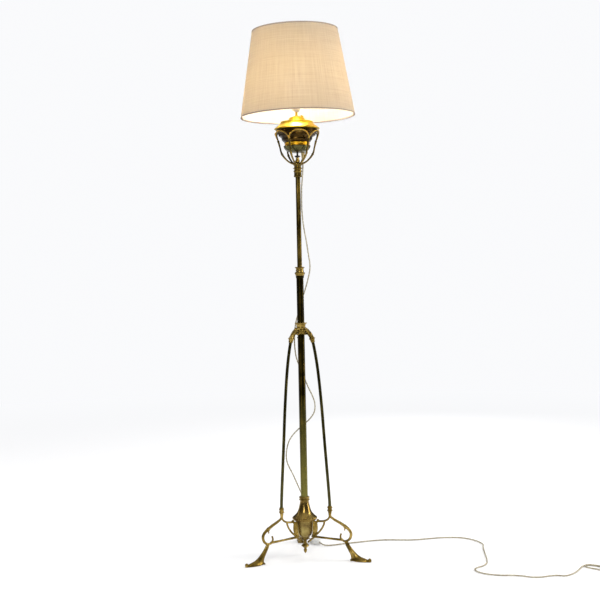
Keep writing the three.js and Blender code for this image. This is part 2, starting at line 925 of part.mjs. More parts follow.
// Rocker with a shallow V top, resting with one end down.
function switchRocker() {
  const side = new THREE.Shape();
  const half = ROCKER.length / 2;
  side.moveTo(-half, 0.6);
  side.lineTo(-half * 0.5, -2.2);
  side.lineTo(half * 0.5, -2.2);
  side.lineTo(half, 0.6);
  side.lineTo(half, 2.6);
  side.lineTo(0, 3.6);
  side.lineTo(-half, 2.6);
  const block = new THREE.ExtrudeGeometry(side, { depth: ROCKER.width, bevelEnabled: false });
  return block
    .rotateX(Math.PI / 2)
    .translate(0, ROCKER.width / 2, 0)
    .rotateY(THREE.MathUtils.degToRad(8))
    .translate(0, 0, ROCKER.pivotZ);
}

// Three-pin plug on its back, pins up, with its cord entry at one edge.
function plugBody() {
  const shape = new THREE.Shape();
  shape.moveTo(-18, -24);
  shape.lineTo(18, -24);
  shape.quadraticCurveTo(26, -22, 26, -12);
  shape.lineTo(24, 12);
  shape.quadraticCurveTo(20, 25, 0, 25);
  shape.quadraticCurveTo(-20, 25, -24, 12);
  shape.lineTo(-26, -12);
  shape.quadraticCurveTo(-26, -22, -18, -24);
  const block = new THREE.ExtrudeGeometry(shape, { depth: 22, bevelEnabled: false, curveSegments: 4 });
  return block.translate(0, 0, 0.1);
}

function plugRelief() {
  return turned([
    [0, 0],
    [2.8, 0],
    [4.6, 20],
    [0, 20],
  ], 10)
    .rotateX(-Math.PI / 2)
    .translate(0, -44.3, 5.2);
}

function plugPin(x, y, width, thickness, length) {
  return new THREE.BoxGeometry(width, thickness, length).translate(x, y, 22.4 + length / 2);
}

function placed(place) {
  const group = new THREE.Group();
  group.position.set(place.x, place.y, 0);
  group.rotation.z = place.turn;
  lampGroup.add(group);
  return group;
}

// ---------------------------------------------------------------- assembly
add("outer_tube", outerTube(), agedBrass);
add("inner_tube", innerTube(), agedBrass);
add("slide_bush", slideBush(), goldBrass);
add("clamp_body", clampBody(), agedBrass);
add("clamp_nut", clampNut(), agedBrass);
add("clamp_collet", clampCollet(), goldBrass);
add("spider", spider(), goldBrass);

[["rear", 0], ["right", THIRD], ["left", -THIRD]].forEach(([side, angle]) => {
  const leg = new THREE.Group();
  leg.rotation.z = -angle;
  lampGroup.add(leg);
  add(`leg_tube_${side}`, legTube(), agedBrass, leg);
  add(`leg_casting_${side}`, legCasting(), goldBrass, leg);
});

add("urn_ring", urnRing(), goldBrass);
add("urn_cover", urnCover(), goldBrass);
add("urn_bowl", urnBowl(), goldBrass);
add("urn_cup", urnCup(), goldBrass);
add("tube_plug", tubePlug(), goldBrass);
add("tie_rod", tieRod(), goldBrass);
add("base_knob", baseKnob(), goldBrass);
add("base_acorn", acorn(), goldBrass);

add("head_socket", headSocket(), goldBrass);
const cage = add("font_cage", fontCage(), goldBrass);
cage.rotation.z = THREE.MathUtils.degToRad(28.5);
add("stem_cone", stemCone(), goldBrass);
add("stem_nut", stemNut(), blackMetal);
add("font_stem", fontStem(), blackMetal);
add("font_nut", fontNut(), goldBrass);
add("font_bowl", fontBowl(), agedBrass);
add("font_band", fontBand(), goldBrass);
add("font_body", fontBody(), agedBrass);
add("gallery_ring", galleryRing(), agedBrass);
add("drip_plate", dripPlate(), goldBrass);
add("font_lid", fontLid(), goldBrass);

const filler = add("filler_cap", fillerCap(), goldBrass);
filler.position.copy(FILLER);
filler.quaternion.setFromUnitVectors(at(0, 0, 1), FILLER_AXIS);

add("holder_stem", holderStem(), agedBrass);
add("holder_cap", holderCap(), cream);
add("holder_core", holderCore(), cream);
add("holder_barrel", holderBarrel(), cream);
add("holder_ring_lower", holderRing(CARRIER_Z - 3.6 - GAP), cream);
add("holder_ring_upper", holderRing(CARRIER_Z + 1.6 + GAP), cream);
add("shade_carrier", shadeCarrier(), steel);
add("bulb_cap", bulbCap(), steel);
add("bulb_glass", bulbGlass(), glass);

// The shade leans to one side on its carrier, about the carrier's top ring.
const tilt = new THREE.Group();
tilt.position.z = CARRIER_TOP + 2;
tilt.rotation.y = SHADE_TILT;
const shade = new THREE.Group();
shade.position.z = -tilt.position.z;
tilt.add(shade);
lampGroup.add(tilt);
add("shade_fabric", shadeFabric(), linen, shade);
add("shade_ring_top", shadeRing(SHADE_TOP - SHADE_RING_R - 1), tape, shade);
add("shade_ring_bottom", shadeRing(SHADE_BOTTOM + SHADE_RING_R + 1), tape, shade);
add("shade_spider", shadeSpider(), steel, shade);

add("strain_relief", strainRelief(), clearGold);
add("cord_hanging", bar(HANGING.map((p) => at(...p)), CORD_R, 44, 8), clearGold);
add("cord_lying", bar(onFloor(LYING), CORD_R, 36, 8), clearGold);
add("cord_tail", bar(onFloor(TAIL), CORD_R, 6, 8), clearGold);
const inline = placed(SWITCH_PLACE);
add("switch_body", switchBody(), whitePlastic, inline);
add("switch_rocker", switchRocker(), whitePlastic, inline);
const bundle = placed(HANK_PLACE);
add("cord_hank", hank(), clearGold, bundle);
add("hank_tie", hankTie(), whitePlastic, bundle);
const plug = placed(PLUG_PLACE);
add("plug_body", plugBody(), whitePlastic, plug);
add("plug_relief", plugRelief(), whitePlastic, plug);
add("plug_pin_earth", plugPin(0, 11, 4, 8, 22.7), goldBrass, plug);
add("plug_pin_live", plugPin(11, -11.2, 6.4, 4, 17.7), goldBrass, plug);
add("plug_pin_neutral", plugPin(-11, -11.2, 6.4, 4, 17.7), goldBrass, plug);

export default lampGroup;
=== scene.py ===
"""Telescopic brass standard lamp on three bowed legs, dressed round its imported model."""
import math

import bmesh
import bpy
from mathutils import Matrix, Vector


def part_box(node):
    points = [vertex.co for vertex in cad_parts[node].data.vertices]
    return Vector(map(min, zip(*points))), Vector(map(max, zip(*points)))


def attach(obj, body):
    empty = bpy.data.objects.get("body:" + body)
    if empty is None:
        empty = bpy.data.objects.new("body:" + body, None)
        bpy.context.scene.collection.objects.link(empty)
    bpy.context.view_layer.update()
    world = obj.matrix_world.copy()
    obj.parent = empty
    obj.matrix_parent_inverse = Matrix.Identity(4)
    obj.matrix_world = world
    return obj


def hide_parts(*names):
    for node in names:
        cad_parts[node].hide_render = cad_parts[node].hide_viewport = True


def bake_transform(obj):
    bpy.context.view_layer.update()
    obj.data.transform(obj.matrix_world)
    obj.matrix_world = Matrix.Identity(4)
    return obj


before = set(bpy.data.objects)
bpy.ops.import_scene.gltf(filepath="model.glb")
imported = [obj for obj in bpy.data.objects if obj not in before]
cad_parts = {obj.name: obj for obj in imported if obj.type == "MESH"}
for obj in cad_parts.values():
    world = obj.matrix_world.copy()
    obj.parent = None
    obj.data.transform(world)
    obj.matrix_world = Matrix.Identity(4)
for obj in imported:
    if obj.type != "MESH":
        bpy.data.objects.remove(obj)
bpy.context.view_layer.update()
MM = 0.001
TURN = 2 * math.pi

# ---------------------------------------------------------------- camera
# Eye level a little over half the lamp's height, 3.4 m away, slightly to the left of the line
# through the rear foot, and leaning a degree to the right as a hand-levelled tripod does.
def middle_of(name):
    """The middle of a CAD piece's box, brought down to the floor."""
    low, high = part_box(name)
    return Vector(((low.x + high.x) / 2, (low.y + high.y) / 2, 0))


AXIS = middle_of("outer_tube")
CAMERA_AWAY = 3.379
CAMERA_ASIDE = 0.0011
EYE_HEIGHT = 0.892
camera_turn = math.radians(4.5)
looking = Vector((math.sin(camera_turn), math.cos(camera_turn), 0))
rightwards = Vector((looking.y, -looking.x, 0))
camera = bpy.data.objects.new("camera", bpy.data.cameras.new("camera"))
bpy.context.collection.objects.link(camera)
camera.data.sensor_width = 36
camera.data.lens = 65.99
camera.data.clip_end = 60
camera.location = AXIS - CAMERA_AWAY * looking - CAMERA_ASIDE * rightwards + Vector((0, 0, EYE_HEIGHT))
dip = math.radians(1.711)
gaze = looking * math.cos(dip) - Vector((0, 0, math.sin(dip)))
camera.rotation_mode = "QUATERNION"
lean = Matrix.Rotation(math.radians(-1.165), 4, "Z").to_quaternion()
camera.rotation_quaternion = gaze.to_track_quat("-Z", "Y") @ lean
bpy.context.scene.camera = camera

# ---------------------------------------------------------------- studio
# White floor that fades into a white surround, with four tall soft boxes. The metal mirrors a dim
# room, so the soft boxes show in it as narrow streaks.
scene = bpy.context.scene
scene.view_settings.view_transform = "Standard"


def material(name):
    """A new material: its node tree and its Principled shader."""
    made = bpy.data.materials.new(name)
    made.use_nodes = True
    return made, made.node_tree, made.node_tree.nodes["Principled BSDF"]


def node(tree, kind, settings=(), **inputs):
    """One node; inputs are values or sockets, named with _ for a space."""
    made = tree.nodes.new(kind)
    for key, value in dict(settings).items():
        setattr(made, key, value)
    for key, value in inputs.items():
        socket = made.inputs[int(key[1:])] if key[1:].isdigit() else made.inputs[key.replace("_", " ")]
        if isinstance(value, bpy.types.NodeSocket):
            tree.links.new(value, socket)
        else:
            socket.default_value = value
    return made


def ramp(tree, factor, stops):
    """A colour ramp with (place, colour) stops; a number stands for a grey."""
    made = tree.nodes.new("ShaderNodeValToRGB")
    tree.links.new(factor, made.inputs[0])
    band = made.color_ramp
    while len(band.elements) < len(stops):
        band.elements.new(0.5)
    for element, (place, colour) in zip(band.elements, stops):
        element.position = place
        element.color = (*colour, 1) if hasattr(colour, "__len__") else (colour, colour, colour, 1)
    return made.outputs[0]


floor_mesh = bpy.data.meshes.new("floor")
FLOOR_R = 12
FLOOR_SIDES = 64
FLOOR_Z = -0.0004
corners = [TURN * i / FLOOR_SIDES for i in range(FLOOR_SIDES)]
ring = [(FLOOR_R * math.cos(a), FLOOR_R * math.sin(a), FLOOR_Z) for a in corners]
floor_mesh.from_pydata(ring, [], [range(FLOOR_SIDES)])
floor = bpy.data.objects.new("floor", floor_mesh)
bpy.context.collection.objects.link(floor)
paper, tree, shader = material("studio_floor")
grain = node(tree, "ShaderNodeTexNoise", Scale=3.0, Detail=2.0)
place = node(tree, "ShaderNodeTexCoord").outputs["Object"]
away = node(tree, "ShaderNodeVectorMath", {"operation": "LENGTH"}, _0=place).outputs["Value"]
faded = node(
    tree, "ShaderNodeMapRange", {"interpolation_type": "SMOOTHSTEP"}, Value=away, From_Min=1.0,
    From_Max=4.5
)
paper_tone = ramp(tree, grain.outputs[0], [(0.3, 0.87), (0.7, 0.9)])
near_tone = node(
    tree, "ShaderNodeMix", {"data_type": "RGBA"}, _0=faded.outputs[0], _6=paper_tone, _7=(0, 0, 0, 1)
).outputs[2]
tree.links.new(near_tone, shader.inputs["Base Color"])
tree.links.new(faded.outputs[0], shader.inputs["Emission Strength"])
shader.inputs["Emission Color"].default_value = (0.955, 0.96, 0.975, 1)
shader.inputs["Roughness"].default_value = 0.7
shader.inputs["Specular IOR Level"].default_value = 0.0
floor_mesh.materials.append(paper)

world = bpy.data.worlds.new("studio")
scene.world = world
world.use_nodes = True
tree = world.node_tree
tree.nodes.clear()
way = node(tree, "ShaderNodeTexCoord")
split = node(tree, "ShaderNodeSeparateXYZ", _0=way.outputs["Generated"])
room = ramp(
    tree, split.outputs["Z"], [(0.0, 0.10), (0.12, 0.05), (0.35, 0.10), (0.75, 0.5), (1.0, 0.9)]
)
dim = node(tree, "ShaderNodeBackground", Color=room, Strength=1.0)
white = node(tree, "ShaderNodeBackground", Color=(0.955, 0.96, 0.975, 1), Strength=1.0)
ray = node(tree, "ShaderNodeLightPath")
both = node(
    tree, "ShaderNodeMixShader", _0=ray.outputs["Is Glossy Ray"], _1=white.outputs[0], _2=dim.outputs[0]
)
node(tree, "ShaderNodeOutputWorld", Surface=both.outputs[0])


def soft_box(name, azimuth, distance, height, size, watts, colour=(1, 0.98, 0.95)):
    """A tall soft box that faces the column, seen by the metal but not by the camera."""
    light = bpy.data.lights.new(name, "AREA")
    light.shape = "RECTANGLE"
    light.size, light.size_y = size
    light.energy = watts
    light.color = colour
    lamp = bpy.data.objects.new(name, light)
    bpy.context.collection.objects.link(lamp)
    a = math.radians(azimuth)
    lamp.location = AXIS + Vector((math.sin(a), math.cos(a), 0)) * distance + Vector((0, 0, height))
    target = AXIS + Vector((0, 0, 0.85))
    lamp.rotation_euler = (target - lamp.location).to_track_quat("-Z", "Y").to_euler()
    lamp.visible_camera = False
    return lamp


soft_box("box_right", 96, 2.4, 1.3, (0.7, 2.2), 40)
soft_box("box_front", 196, 3.2, 1.9, (0.8, 1.6), 30)
soft_box("box_left", -60, 2.8, 1.5, (0.25, 2.2), 5)
soft_box("box_rear", 20, 3.0, 1.6, (0.5, 2.0), 14)

# ---------------------------------------------------------------- flex
# Clear gold twisted flex, two cores in PVC 4.4 mm over the twist. It leaves the font through a
# sleeve, hangs loosely by the column to the in-line switch, and runs over the floor to its hank.
FLEX = 4.4 * MM
TWIST_PITCH = 21 * MM
FLEX_STEP = 2.2 * MM
FLOOR_FLEX_Z = 2.4 * MM
hanging_route = [
    (0.0168, 0.0091, 1.2214), (0.0166, 0.0089, 1.1900), (0.0124, 0.0126, 1.1400),
    (0.0115, 0.0146, 1.1000), (0.0118, 0.0149, 1.0620), (0.0156, 0.0130, 1.0180),
    (0.0214, 0.0100, 0.9810), (0.0264, 0.0070, 0.9440), (0.0321, 0.0050, 0.8900),
    (0.0246, 0.0114, 0.8500), (0.0171, 0.0138, 0.8240), (0.0045, 0.0194, 0.7850),
    (-0.0066, 0.0200, 0.7480), (-0.0146, 0.0196, 0.7180), (-0.0183, 0.0166, 0.6900),
    (-0.0197, 0.0136, 0.6590), (-0.0161, 0.0132, 0.6180), (-0.0068, 0.0158, 0.5880),
    (0.0062, 0.0154, 0.5560), (0.0205, 0.0076, 0.5190), (0.0315, -0.0005, 0.4940),
    (0.0381, -0.0040, 0.4700), (0.0357, -0.0018, 0.4450), (0.0204, 0.0108, 0.4200),
    (0.0013, 0.0168, 0.4030), (-0.0334, 0.0056, 0.3720), (-0.0471, 0.0037, 0.3470),
    (-0.0523, 0.0041, 0.2980), (-0.0318, 0.0135, 0.2480), (-0.0214, 0.0230, 0.2230),
    (-0.0110, 0.0360, 0.1980), (-0.0010, 0.0500, 0.1730), (0.0090, 0.0660, 0.1520),
    (0.0160, 0.0860, 0.1300), (0.0195, 0.1120, 0.1060), (0.0210, 0.1380, 0.0820),
    (0.0215, 0.1600, 0.0600), (0.0220, 0.1806, 0.0260), (0.0247, 0.1760, 0.0133),
    (0.0279, 0.1704, 0.0091), (0.0324, 0.1623, 0.0080),
]
floor_route = [
    (0.0556, 0.1217, 0.0080), (0.0600, 0.1140, 0.0064), (0.0680, 0.1060, 0.0036),
    (0.0800, 0.1025, 0.0024), (0.1040, 0.1060, 0.0024), (0.1410, 0.1190, 0.0024),
    (0.1790, 0.1270, 0.0024), (0.2110, 0.1360, 0.0024), (0.2430, 0.1420, 0.0024),
    (0.2740, 0.1430, 0.0024), (0.3120, 0.1370, 0.0024), (0.3470, 0.1300, 0.0024),
    (0.3810, 0.1310, 0.0024), (0.4250, 0.1390, 0.0024), (0.4700, 0.1430, 0.0024),
    (0.5140, 0.1340, 0.0024), (0.5430, 0.1100, 0.0024), (0.5610, 0.0770, 0.0024),
    (0.5680, 0.0380, 0.0024), (0.5600, 0.0040, 0.0024), (0.5520, -0.0400, 0.0024),
    (0.5440, -0.0900, 0.0024), (0.5350, -0.1420, 0.0024), (0.5230, -0.1840, 0.0024),
    (0.5070, -0.2070, 0.0024), (0.4880, -0.2210, 0.0024), (0.4760, -0.2360, 0.0024),
    (0.4750, -0.2560, 0.0024), (0.4870, -0.2810, 0.0024), (0.5080, -0.2990, 0.0024),
    (0.5370, -0.3110, 0.0024), (0.5660, -0.3150, 0.0024), (0.5900, -0.3250, 0.0024),
    (0.6160, -0.3420, 0.0024), (0.6440, -0.3440, 0.0024), (0.6690, -0.3360, 0.0024),
    (0.6900, -0.3350, 0.0024), (0.7090, -0.3430, 0.0024), (0.7280, -0.3340, 0.0024),
    (0.7530, -0.3100, 0.0024), (0.7820, -0.2670, 0.0024), (0.7897, -0.2567, 0.0024),
]
tail_route = [
    (0.8892, -0.3059, 0.00685), (0.8962, -0.3089, 0.0066),
    (0.9034, -0.3115, 0.0050), (0.9106, -0.3129, 0.0029), (0.9186, -0.3111, 0.0024),
    (0.9252, -0.3061, 0.0024), (0.9290, -0.2988, 0.0024), (0.9293, -0.2906, 0.0026),
    (0.9264, -0.2807, 0.0040), (0.9242, -0.2730, 0.0052),
]


def smooth_line(points, step):
    """The centripetal curve through the points, with a point every step."""
    p = [Vector(q) for q in points]
    p = [2 * p[0] - p[1], *p, 2 * p[-1] - p[-2]]
    dense = []
    for i in range(len(p) - 3):
        a, b, c, d = p[i : i + 4]
        ta, tb, tc = ((b - a).length ** 0.5, (c - b).length ** 0.5, (d - c).length ** 0.5)
        m1 = (b - a) / ta - (c - a) / (ta + tb) + (c - b) / tb
        m2 = (c - b) / tb - (d - b) / (tb + tc) + (d - c) / tc
        m1, m2 = m1 * tb, m2 * tb
        for k in range(24):
            t = k / 24
            dense.append(
                b * (2 * t**3 - 3 * t**2 + 1)
                + m1 * (t**3 - 2 * t**2 + t)
                + c * (3 * t**2 - 2 * t**3)
                + m2 * (t**3 - t**2)
            )
    dense.append(p[-2])
    total = sum((b - a).length for a, b in zip(dense, dense[1:]))
    count = max(2, round(total / step))
    even = [dense[0]]
    gone = 0.0
    i = 0
    for k in range(1, count):
        want = total * k / count
        while gone + (dense[i + 1] - dense[i]).length < want:
            gone += (dense[i + 1] - dense[i]).length
            i += 1
        even.append(dense[i].lerp(dense[i + 1], (want - gone) / (dense[i + 1] - dense[i]).length))
    return [*even, dense[-1]]


def frames_along(line):
    """Two cross directions at each point of the line, carried along it without twist."""
    ahead = [
        (line[min(i + 1, len(line) - 1)] - line[max(i - 1, 0)]).normalized() for i in range(len(line))
    ]
    side = ahead[0].orthogonal().normalized()
    frames = []
    for direction in ahead:
        side = (side - direction * side.dot(direction)).normalized()
        frames.append((side, direction.cross(side)))
    return frames


def skin(name, rings, closed=False):
    """A mesh over rings of points, with its two ends closed by a fan unless it closes on itself."""
    shape = bmesh.new()
    rows = [[shape.verts.new(point) for point in row] for row in rings]
    count = len(rows[0])
    pairs = list(zip(rows, rows[1:] + rows[:1])) if closed else list(zip(rows, rows[1:]))
    for low, high in pairs:
        for i in range(count):
            j = (i + 1) % count
            shape.faces.new((low[i], low[j], high[j], high[i]))
    if not closed:
        shape.faces.new(rows[0][::-1])
        shape.faces.new(rows[-1])
    return to_object(name, shape)


def to_object(name, shape, sharp=35):
    """The finished mesh: doubles merged, faces outwards, smooth but for its sharp edges."""
    bmesh.ops.remove_doubles(shape, verts=shape.verts, dist=1e-6)
    bmesh.ops.recalc_face_normals(shape, faces=shape.faces)
    mesh = bpy.data.meshes.new(name)
    shape.to_mesh(mesh)
    shape.free()
    mesh.shade_smooth()
    mesh.set_sharp_from_angle(angle=math.radians(sharp))
    made = bpy.data.objects.new(name, mesh)
    bpy.context.collection.objects.link(made)
    return made


def twisted_pair(name, line):
    """Two cores laid round each other along the line."""
    core = 0.8 * FLEX / 2
    off = 0.2 * FLEX / 2
    rings = []
    gone = 0.0
    for i, (point, (u, v)) in enumerate(zip(line, frames_along(line))):
        gone += (point - line[i - 1]).length if i else 0.0
        turn = TURN * gone / TWIST_PITCH
        row = []
        for k in range(14):
            a = TURN * k / 14
            r = off * abs(math.cos(a)) + math.sqrt(core**2 - (off * math.sin(a)) ** 2)
            row.append(point + r * (u * math.cos(a + turn) + v * math.sin(a + turn)))
        rings.append(row)
    return skin(name, rings)


clear_gold, tree, shader = material("clear_gold_flex")
place = node(tree, "ShaderNodeTexCoord").outputs["Object"]
cloud = node(tree, "ShaderNodeTexNoise", Vector=place, Scale=46.0, Detail=4.0).outputs[0]
grime = node(tree, "ShaderNodeTexNoise", Vector=place, Scale=420.0, Detail=3.0).outputs[0]
tone = ramp(
    tree, cloud, [(0.3, (0.27, 0.22, 0.13)), (0.52, (0.4, 0.35, 0.23)), (0.72, (0.5, 0.45, 0.33))]
)
tree.links.new(tone, shader.inputs["Base Color"])
tree.links.new(ramp(tree, grime, [(0.3, 0.22), (0.7, 0.4)]), shader.inputs["Roughness"])
shader.inputs["Transmission Weight"].default_value = 0.15
shader.inputs["Coat Weight"].default_value = 0.3
dents = node(tree, "ShaderNodeBump", Strength=0.2, Distance=0.0004, Height=grime)
tree.links.new(dents.outputs[0], shader.inputs["Normal"])


def fit(piece, body, slot, finish, *nodes):
    """Gives the piece its finish and its body, and puts it in place of the CAD nodes; the slot is not
    used.
    """
    piece.data.materials.clear()
    piece.data.materials.append(finish)
    if body:
        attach(piece, body)
    if nodes:
        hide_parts(*nodes)
    return piece


def in_room(points):
    """The routes are given from the column's axis."""
    return [Vector(p) + AXIS for p in points]


hanging_line = smooth_line(in_room(hanging_route), FLEX_STEP)
hanging_flex = twisted_pair("hanging_flex", hanging_line)
fit(hanging_flex, None, "clear_flex", clear_gold, "cord_hanging")
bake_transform(hanging_flex)

# The spare flex is folded into a flat hank on the floor, two lanes side by side, clockwise from
# above. It comes in at the left end and leaves over the outer lane of the rear run.
hank_centre = middle_of("cord_hank")
HANK_TURN = -0.75
HANK_HALF_RUN = 42 * MM
LANE_OUT = 18.3 * MM
LANE_IN = 13.8 * MM
LAYER = 4.45 * MM


def hank_point(share, radius, height):
    """A place on one turn of the hank; share 0 is its left end and a quarter is the right one."""
    arc = math.pi * radius
    lengths = [arc / 2, 2 * HANK_HALF_RUN, arc, 2 * HANK_HALF_RUN, arc / 2]
    gone = (share % 1.0) * sum(lengths)
    for stretch, length in enumerate(lengths):
        if gone <= length or stretch == 4:
            break
        gone -= length
    a = gone / radius
    x, y = {
        0: (-HANK_HALF_RUN - radius * math.cos(a), radius * math.sin(a)),
        1: (-HANK_HALF_RUN + gone, radius),
        2: (HANK_HALF_RUN + radius * math.sin(a), radius * math.cos(a)),
        3: (HANK_HALF_RUN - gone, -radius),
        4: (-HANK_HALF_RUN - radius * math.sin(a), -radius * math.cos(a)),
    }[stretch]
    return hank_centre + Matrix.Rotation(HANK_TURN, 3, "Z") @ Vector((x, y, height))


def eased(value, start, end):
    """Runs smoothly from 0 at start to 1 at end."""
    t = min(1, max(0, (value - start) / (end - start)))
    return t * t * (3 - 2 * t)


hank_line = []
STEPS = 72
for k in range(round(STEPS * 1.385)):
    turns = k / STEPS
    radius = LANE_OUT + (LANE_IN - LANE_OUT) * eased(turns, 0.8, 1)
    hank_line.append(hank_point(turns, radius, FLOOR_FLEX_Z + LAYER * eased(turns, 1.28, 1.38)))
floor_line = smooth_line([*in_room(floor_route), *hank_line[2:], *in_room(tail_route)], FLEX_STEP)
floor_flex = twisted_pair("floor_flex", floor_line)
fit(floor_flex, "root", "clear_flex", clear_gold, "cord_lying", "cord_tail", "cord_hank")


# ---------------------------------------------------------------- pieces on the flex
# Gold PVC sleeve at the font, white in-line rocker switch, white tie round the hank and white
# three-pin plug with a rubber relief, all moulded.
def turned(name, profile, sides=64, wave=None, centre=None):
    """Spins a profile of (radius, height) millimetres; one that starts off the axis is a closed loop."""
    closed = profile[0][0] > 0
    rings = []
    for r, z in profile:
        row = []
        for k in range(sides):
            a = TURN * k / sides
            grown = r + (wave(a, r, z) if wave else 0)
            row.append(Vector((grown * MM * math.cos(a), grown * MM * math.sin(a), z * MM)))
        rings.append(row)
    shape = skin(name, rings, closed)
    shape.data.transform(Matrix.Translation(AXIS if centre is None else centre))
    return shape


def bead(start, end, rise, steps=7):
    """Points of a round moulding between two profile points; rise is how far it stands out."""
    (r0, z0), (r1, z1) = start, end
    half = math.hypot(r1 - r0, z1 - z0) / 2
    out_r, out_z = (z1 - z0) / (2 * half), -(r1 - r0) / (2 * half)
    points = []
    for k in range(steps + 1):
        t = k / steps
        swell = rise * math.sin(math.pi * t) ** 0.8
        points.append((r0 + (r1 - r0) * t + out_r * swell, z0 + (z1 - z0) * t + out_z * swell))
    return points


def moulded(name, light, shade, rough=0.38, grain_scale=900.0):
    """Moulded plastic: faint mottle, a fine grain and slight handling wear."""
    made, tree, shader = material(name)
    place = node(tree, "ShaderNodeTexCoord").outputs["Object"]
    cloud = node(tree, "ShaderNodeTexNoise", Vector=place, Scale=38.0, Detail=5.0).outputs[0]
    grain = node(tree, "ShaderNodeTexNoise", Vector=place, Scale=grain_scale, Detail=2.0).outputs[0]
    tree.links.new(ramp(tree, cloud, [(0.32, shade), (0.62, light)]), shader.inputs["Base Color"])
    tree.links.new(
        ramp(tree, grain, [(0.3, rough - 0.08), (0.7, rough + 0.12)]), shader.inputs["Roughness"]
    )
    bump = node(tree, "ShaderNodeBump", Strength=0.12, Distance=0.0002, Height=grain)
    tree.links.new(bump.outputs[0], shader.inputs["Normal"])
    return made


white_plastic = moulded("white_plastic", (0.74, 0.74, 0.72), (0.6, 0.6, 0.57))
gold_sleeve = moulded("gold_sleeve", (0.5, 0.38, 0.16), (0.36, 0.26, 0.1), 0.3)

sleeve_wall = [(2.4, 1221.8), (2.9, 1222.2)]
for i in range(4):
    foot = 1223 + 4.2 * i
    width = 2.9 + 0.42 * i
    sleeve_wall += [*bead((width, foot), (width + 0.1, foot + 2.8), 0.35, 5), (width - 0.1, foot + 3.5)]
sleeve_wall += [(4.5, 1240), (5.5, 1240.8), (5.5, 1242.5), (2.4, 1242.5)]
strain_sleeve = turned("strain_sleeve", sleeve_wall, 32, centre=middle_of("strain_relief"))
fit(strain_sleeve, "head", "clear_flex", gold_sleeve, "strain_relief")


def outline_block(name, outline, bottom, top, round_off, round_steps=3):
    """A flat-bottomed block over an outline, with its upper and lower edges rounded off."""
    shape = bmesh.new()
    base = shape.faces.new([shape.verts.new((x * MM, y * MM, bottom * MM)) for x, y in outline])
    grown = bmesh.ops.extrude_face_region(shape, geom=[base])["geom"]
    lifted = [v for v in grown if isinstance(v, bmesh.types.BMVert)]
    bmesh.ops.translate(shape, verts=lifted, vec=(0, 0, (top - bottom) * MM))
    rims = [e for e in shape.edges if abs(e.verts[0].co.z - e.verts[1].co.z) < 1e-9]
    bmesh.ops.bevel(
        shape, geom=rims, offset=round_off * MM, segments=round_steps, profile=0.6, affect="EDGES",
        clamp_overlap=True,
    )
    return to_object(name, shape, 40)


def rounded_ends(length, width, steps=14):
    """Outline of a block with round ends, along x, in millimetres."""
    half, r = (length - width) / 2, width / 2
    points = []
    for side in (1, -1):
        for k in range(steps + 1):
            a = math.pi * (k / steps - 0.5)
            points.append((side * (half + r * math.cos(a)), side * r * math.sin(a)))
    return points


def cut_away(piece, tool):
    """Cuts the tool out of the piece."""
    knife = piece.modifiers.new("cut", "BOOLEAN")
    knife.object = tool
    knife.operation = "DIFFERENCE"
    knife.solver = "EXACT"
    bake(piece)
    bpy.data.objects.remove(tool)


def bake(piece, sharp=35):
    """Turns the piece and its modifiers into a plain mesh."""
    graph = bpy.context.evaluated_depsgraph_get()
    mesh = bpy.data.meshes.new_from_object(piece.evaluated_get(graph))
    piece.modifiers.clear()
    piece.data = mesh
    mesh.shade_smooth()
    mesh.set_sharp_from_angle(angle=math.radians(sharp))


def put(piece, centre, turn):
    """Lays a piece made about its own middle at its place on the floor."""
    piece.data.transform(Matrix.Translation(centre) @ Matrix.Rotation(turn, 4, "Z"))


switch_centre = middle_of("switch_body")
SWITCH_TURN = -1.05
switch_shell = outline_block("switch_shell", rounded_ends(46, 22), 0.1, 15, 3.0, 4)
pocket = outline_block("pocket", [(-8.2, -4.5), (8.2, -4.5), (8.2, 4.5), (-8.2, 4.5)], 8.5, 18, 0.4)
cut_away(switch_shell, pocket)
seam = outline_block("seam", rounded_ends(60, 40), 7.2, 7.7, 0.05, 1)
core = outline_block("core", rounded_ends(45, 21), 6.0, 9.0, 0.1, 1)
cut_away(seam, core)
cut_away(switch_shell, seam)
put(switch_shell, switch_centre, SWITCH_TURN)
fit(switch_shell, "root", "white_plastic", white_plastic, "switch_body")

rocker = outline_block(
    "rocker", [(-6.9, -3.9), (6.9, -3.9), (6.9, 3.9), (-6.9, 3.9)], -2.0, 2.6, 0.5, 2
)
shape = bmesh.new()
shape.from_mesh(rocker.data)
bmesh.ops.subdivide_edges(
    shape, edges=[e for e in shape.edges if abs(e.verts[0].co.x - e.verts[1].co.x) > 8 * MM], cuts=8
)
for v in shape.verts:
    if v.co.z > 0:
        v.co.z += 0.9 * MM * (1 - abs(v.co.x) / (7 * MM))
    else:
        v.co.x *= 0.55
bpy.data.objects.remove(rocker)
rocker = to_object("rocker", shape)
rocker.data.transform(Matrix.Translation((0, 0, 13 * MM)) @ Matrix.Rotation(math.radians(8), 4, "Y"))
put(rocker, switch_centre, SWITCH_TURN)
fit(rocker, "rocker", "white_plastic", white_plastic, "switch_rocker")

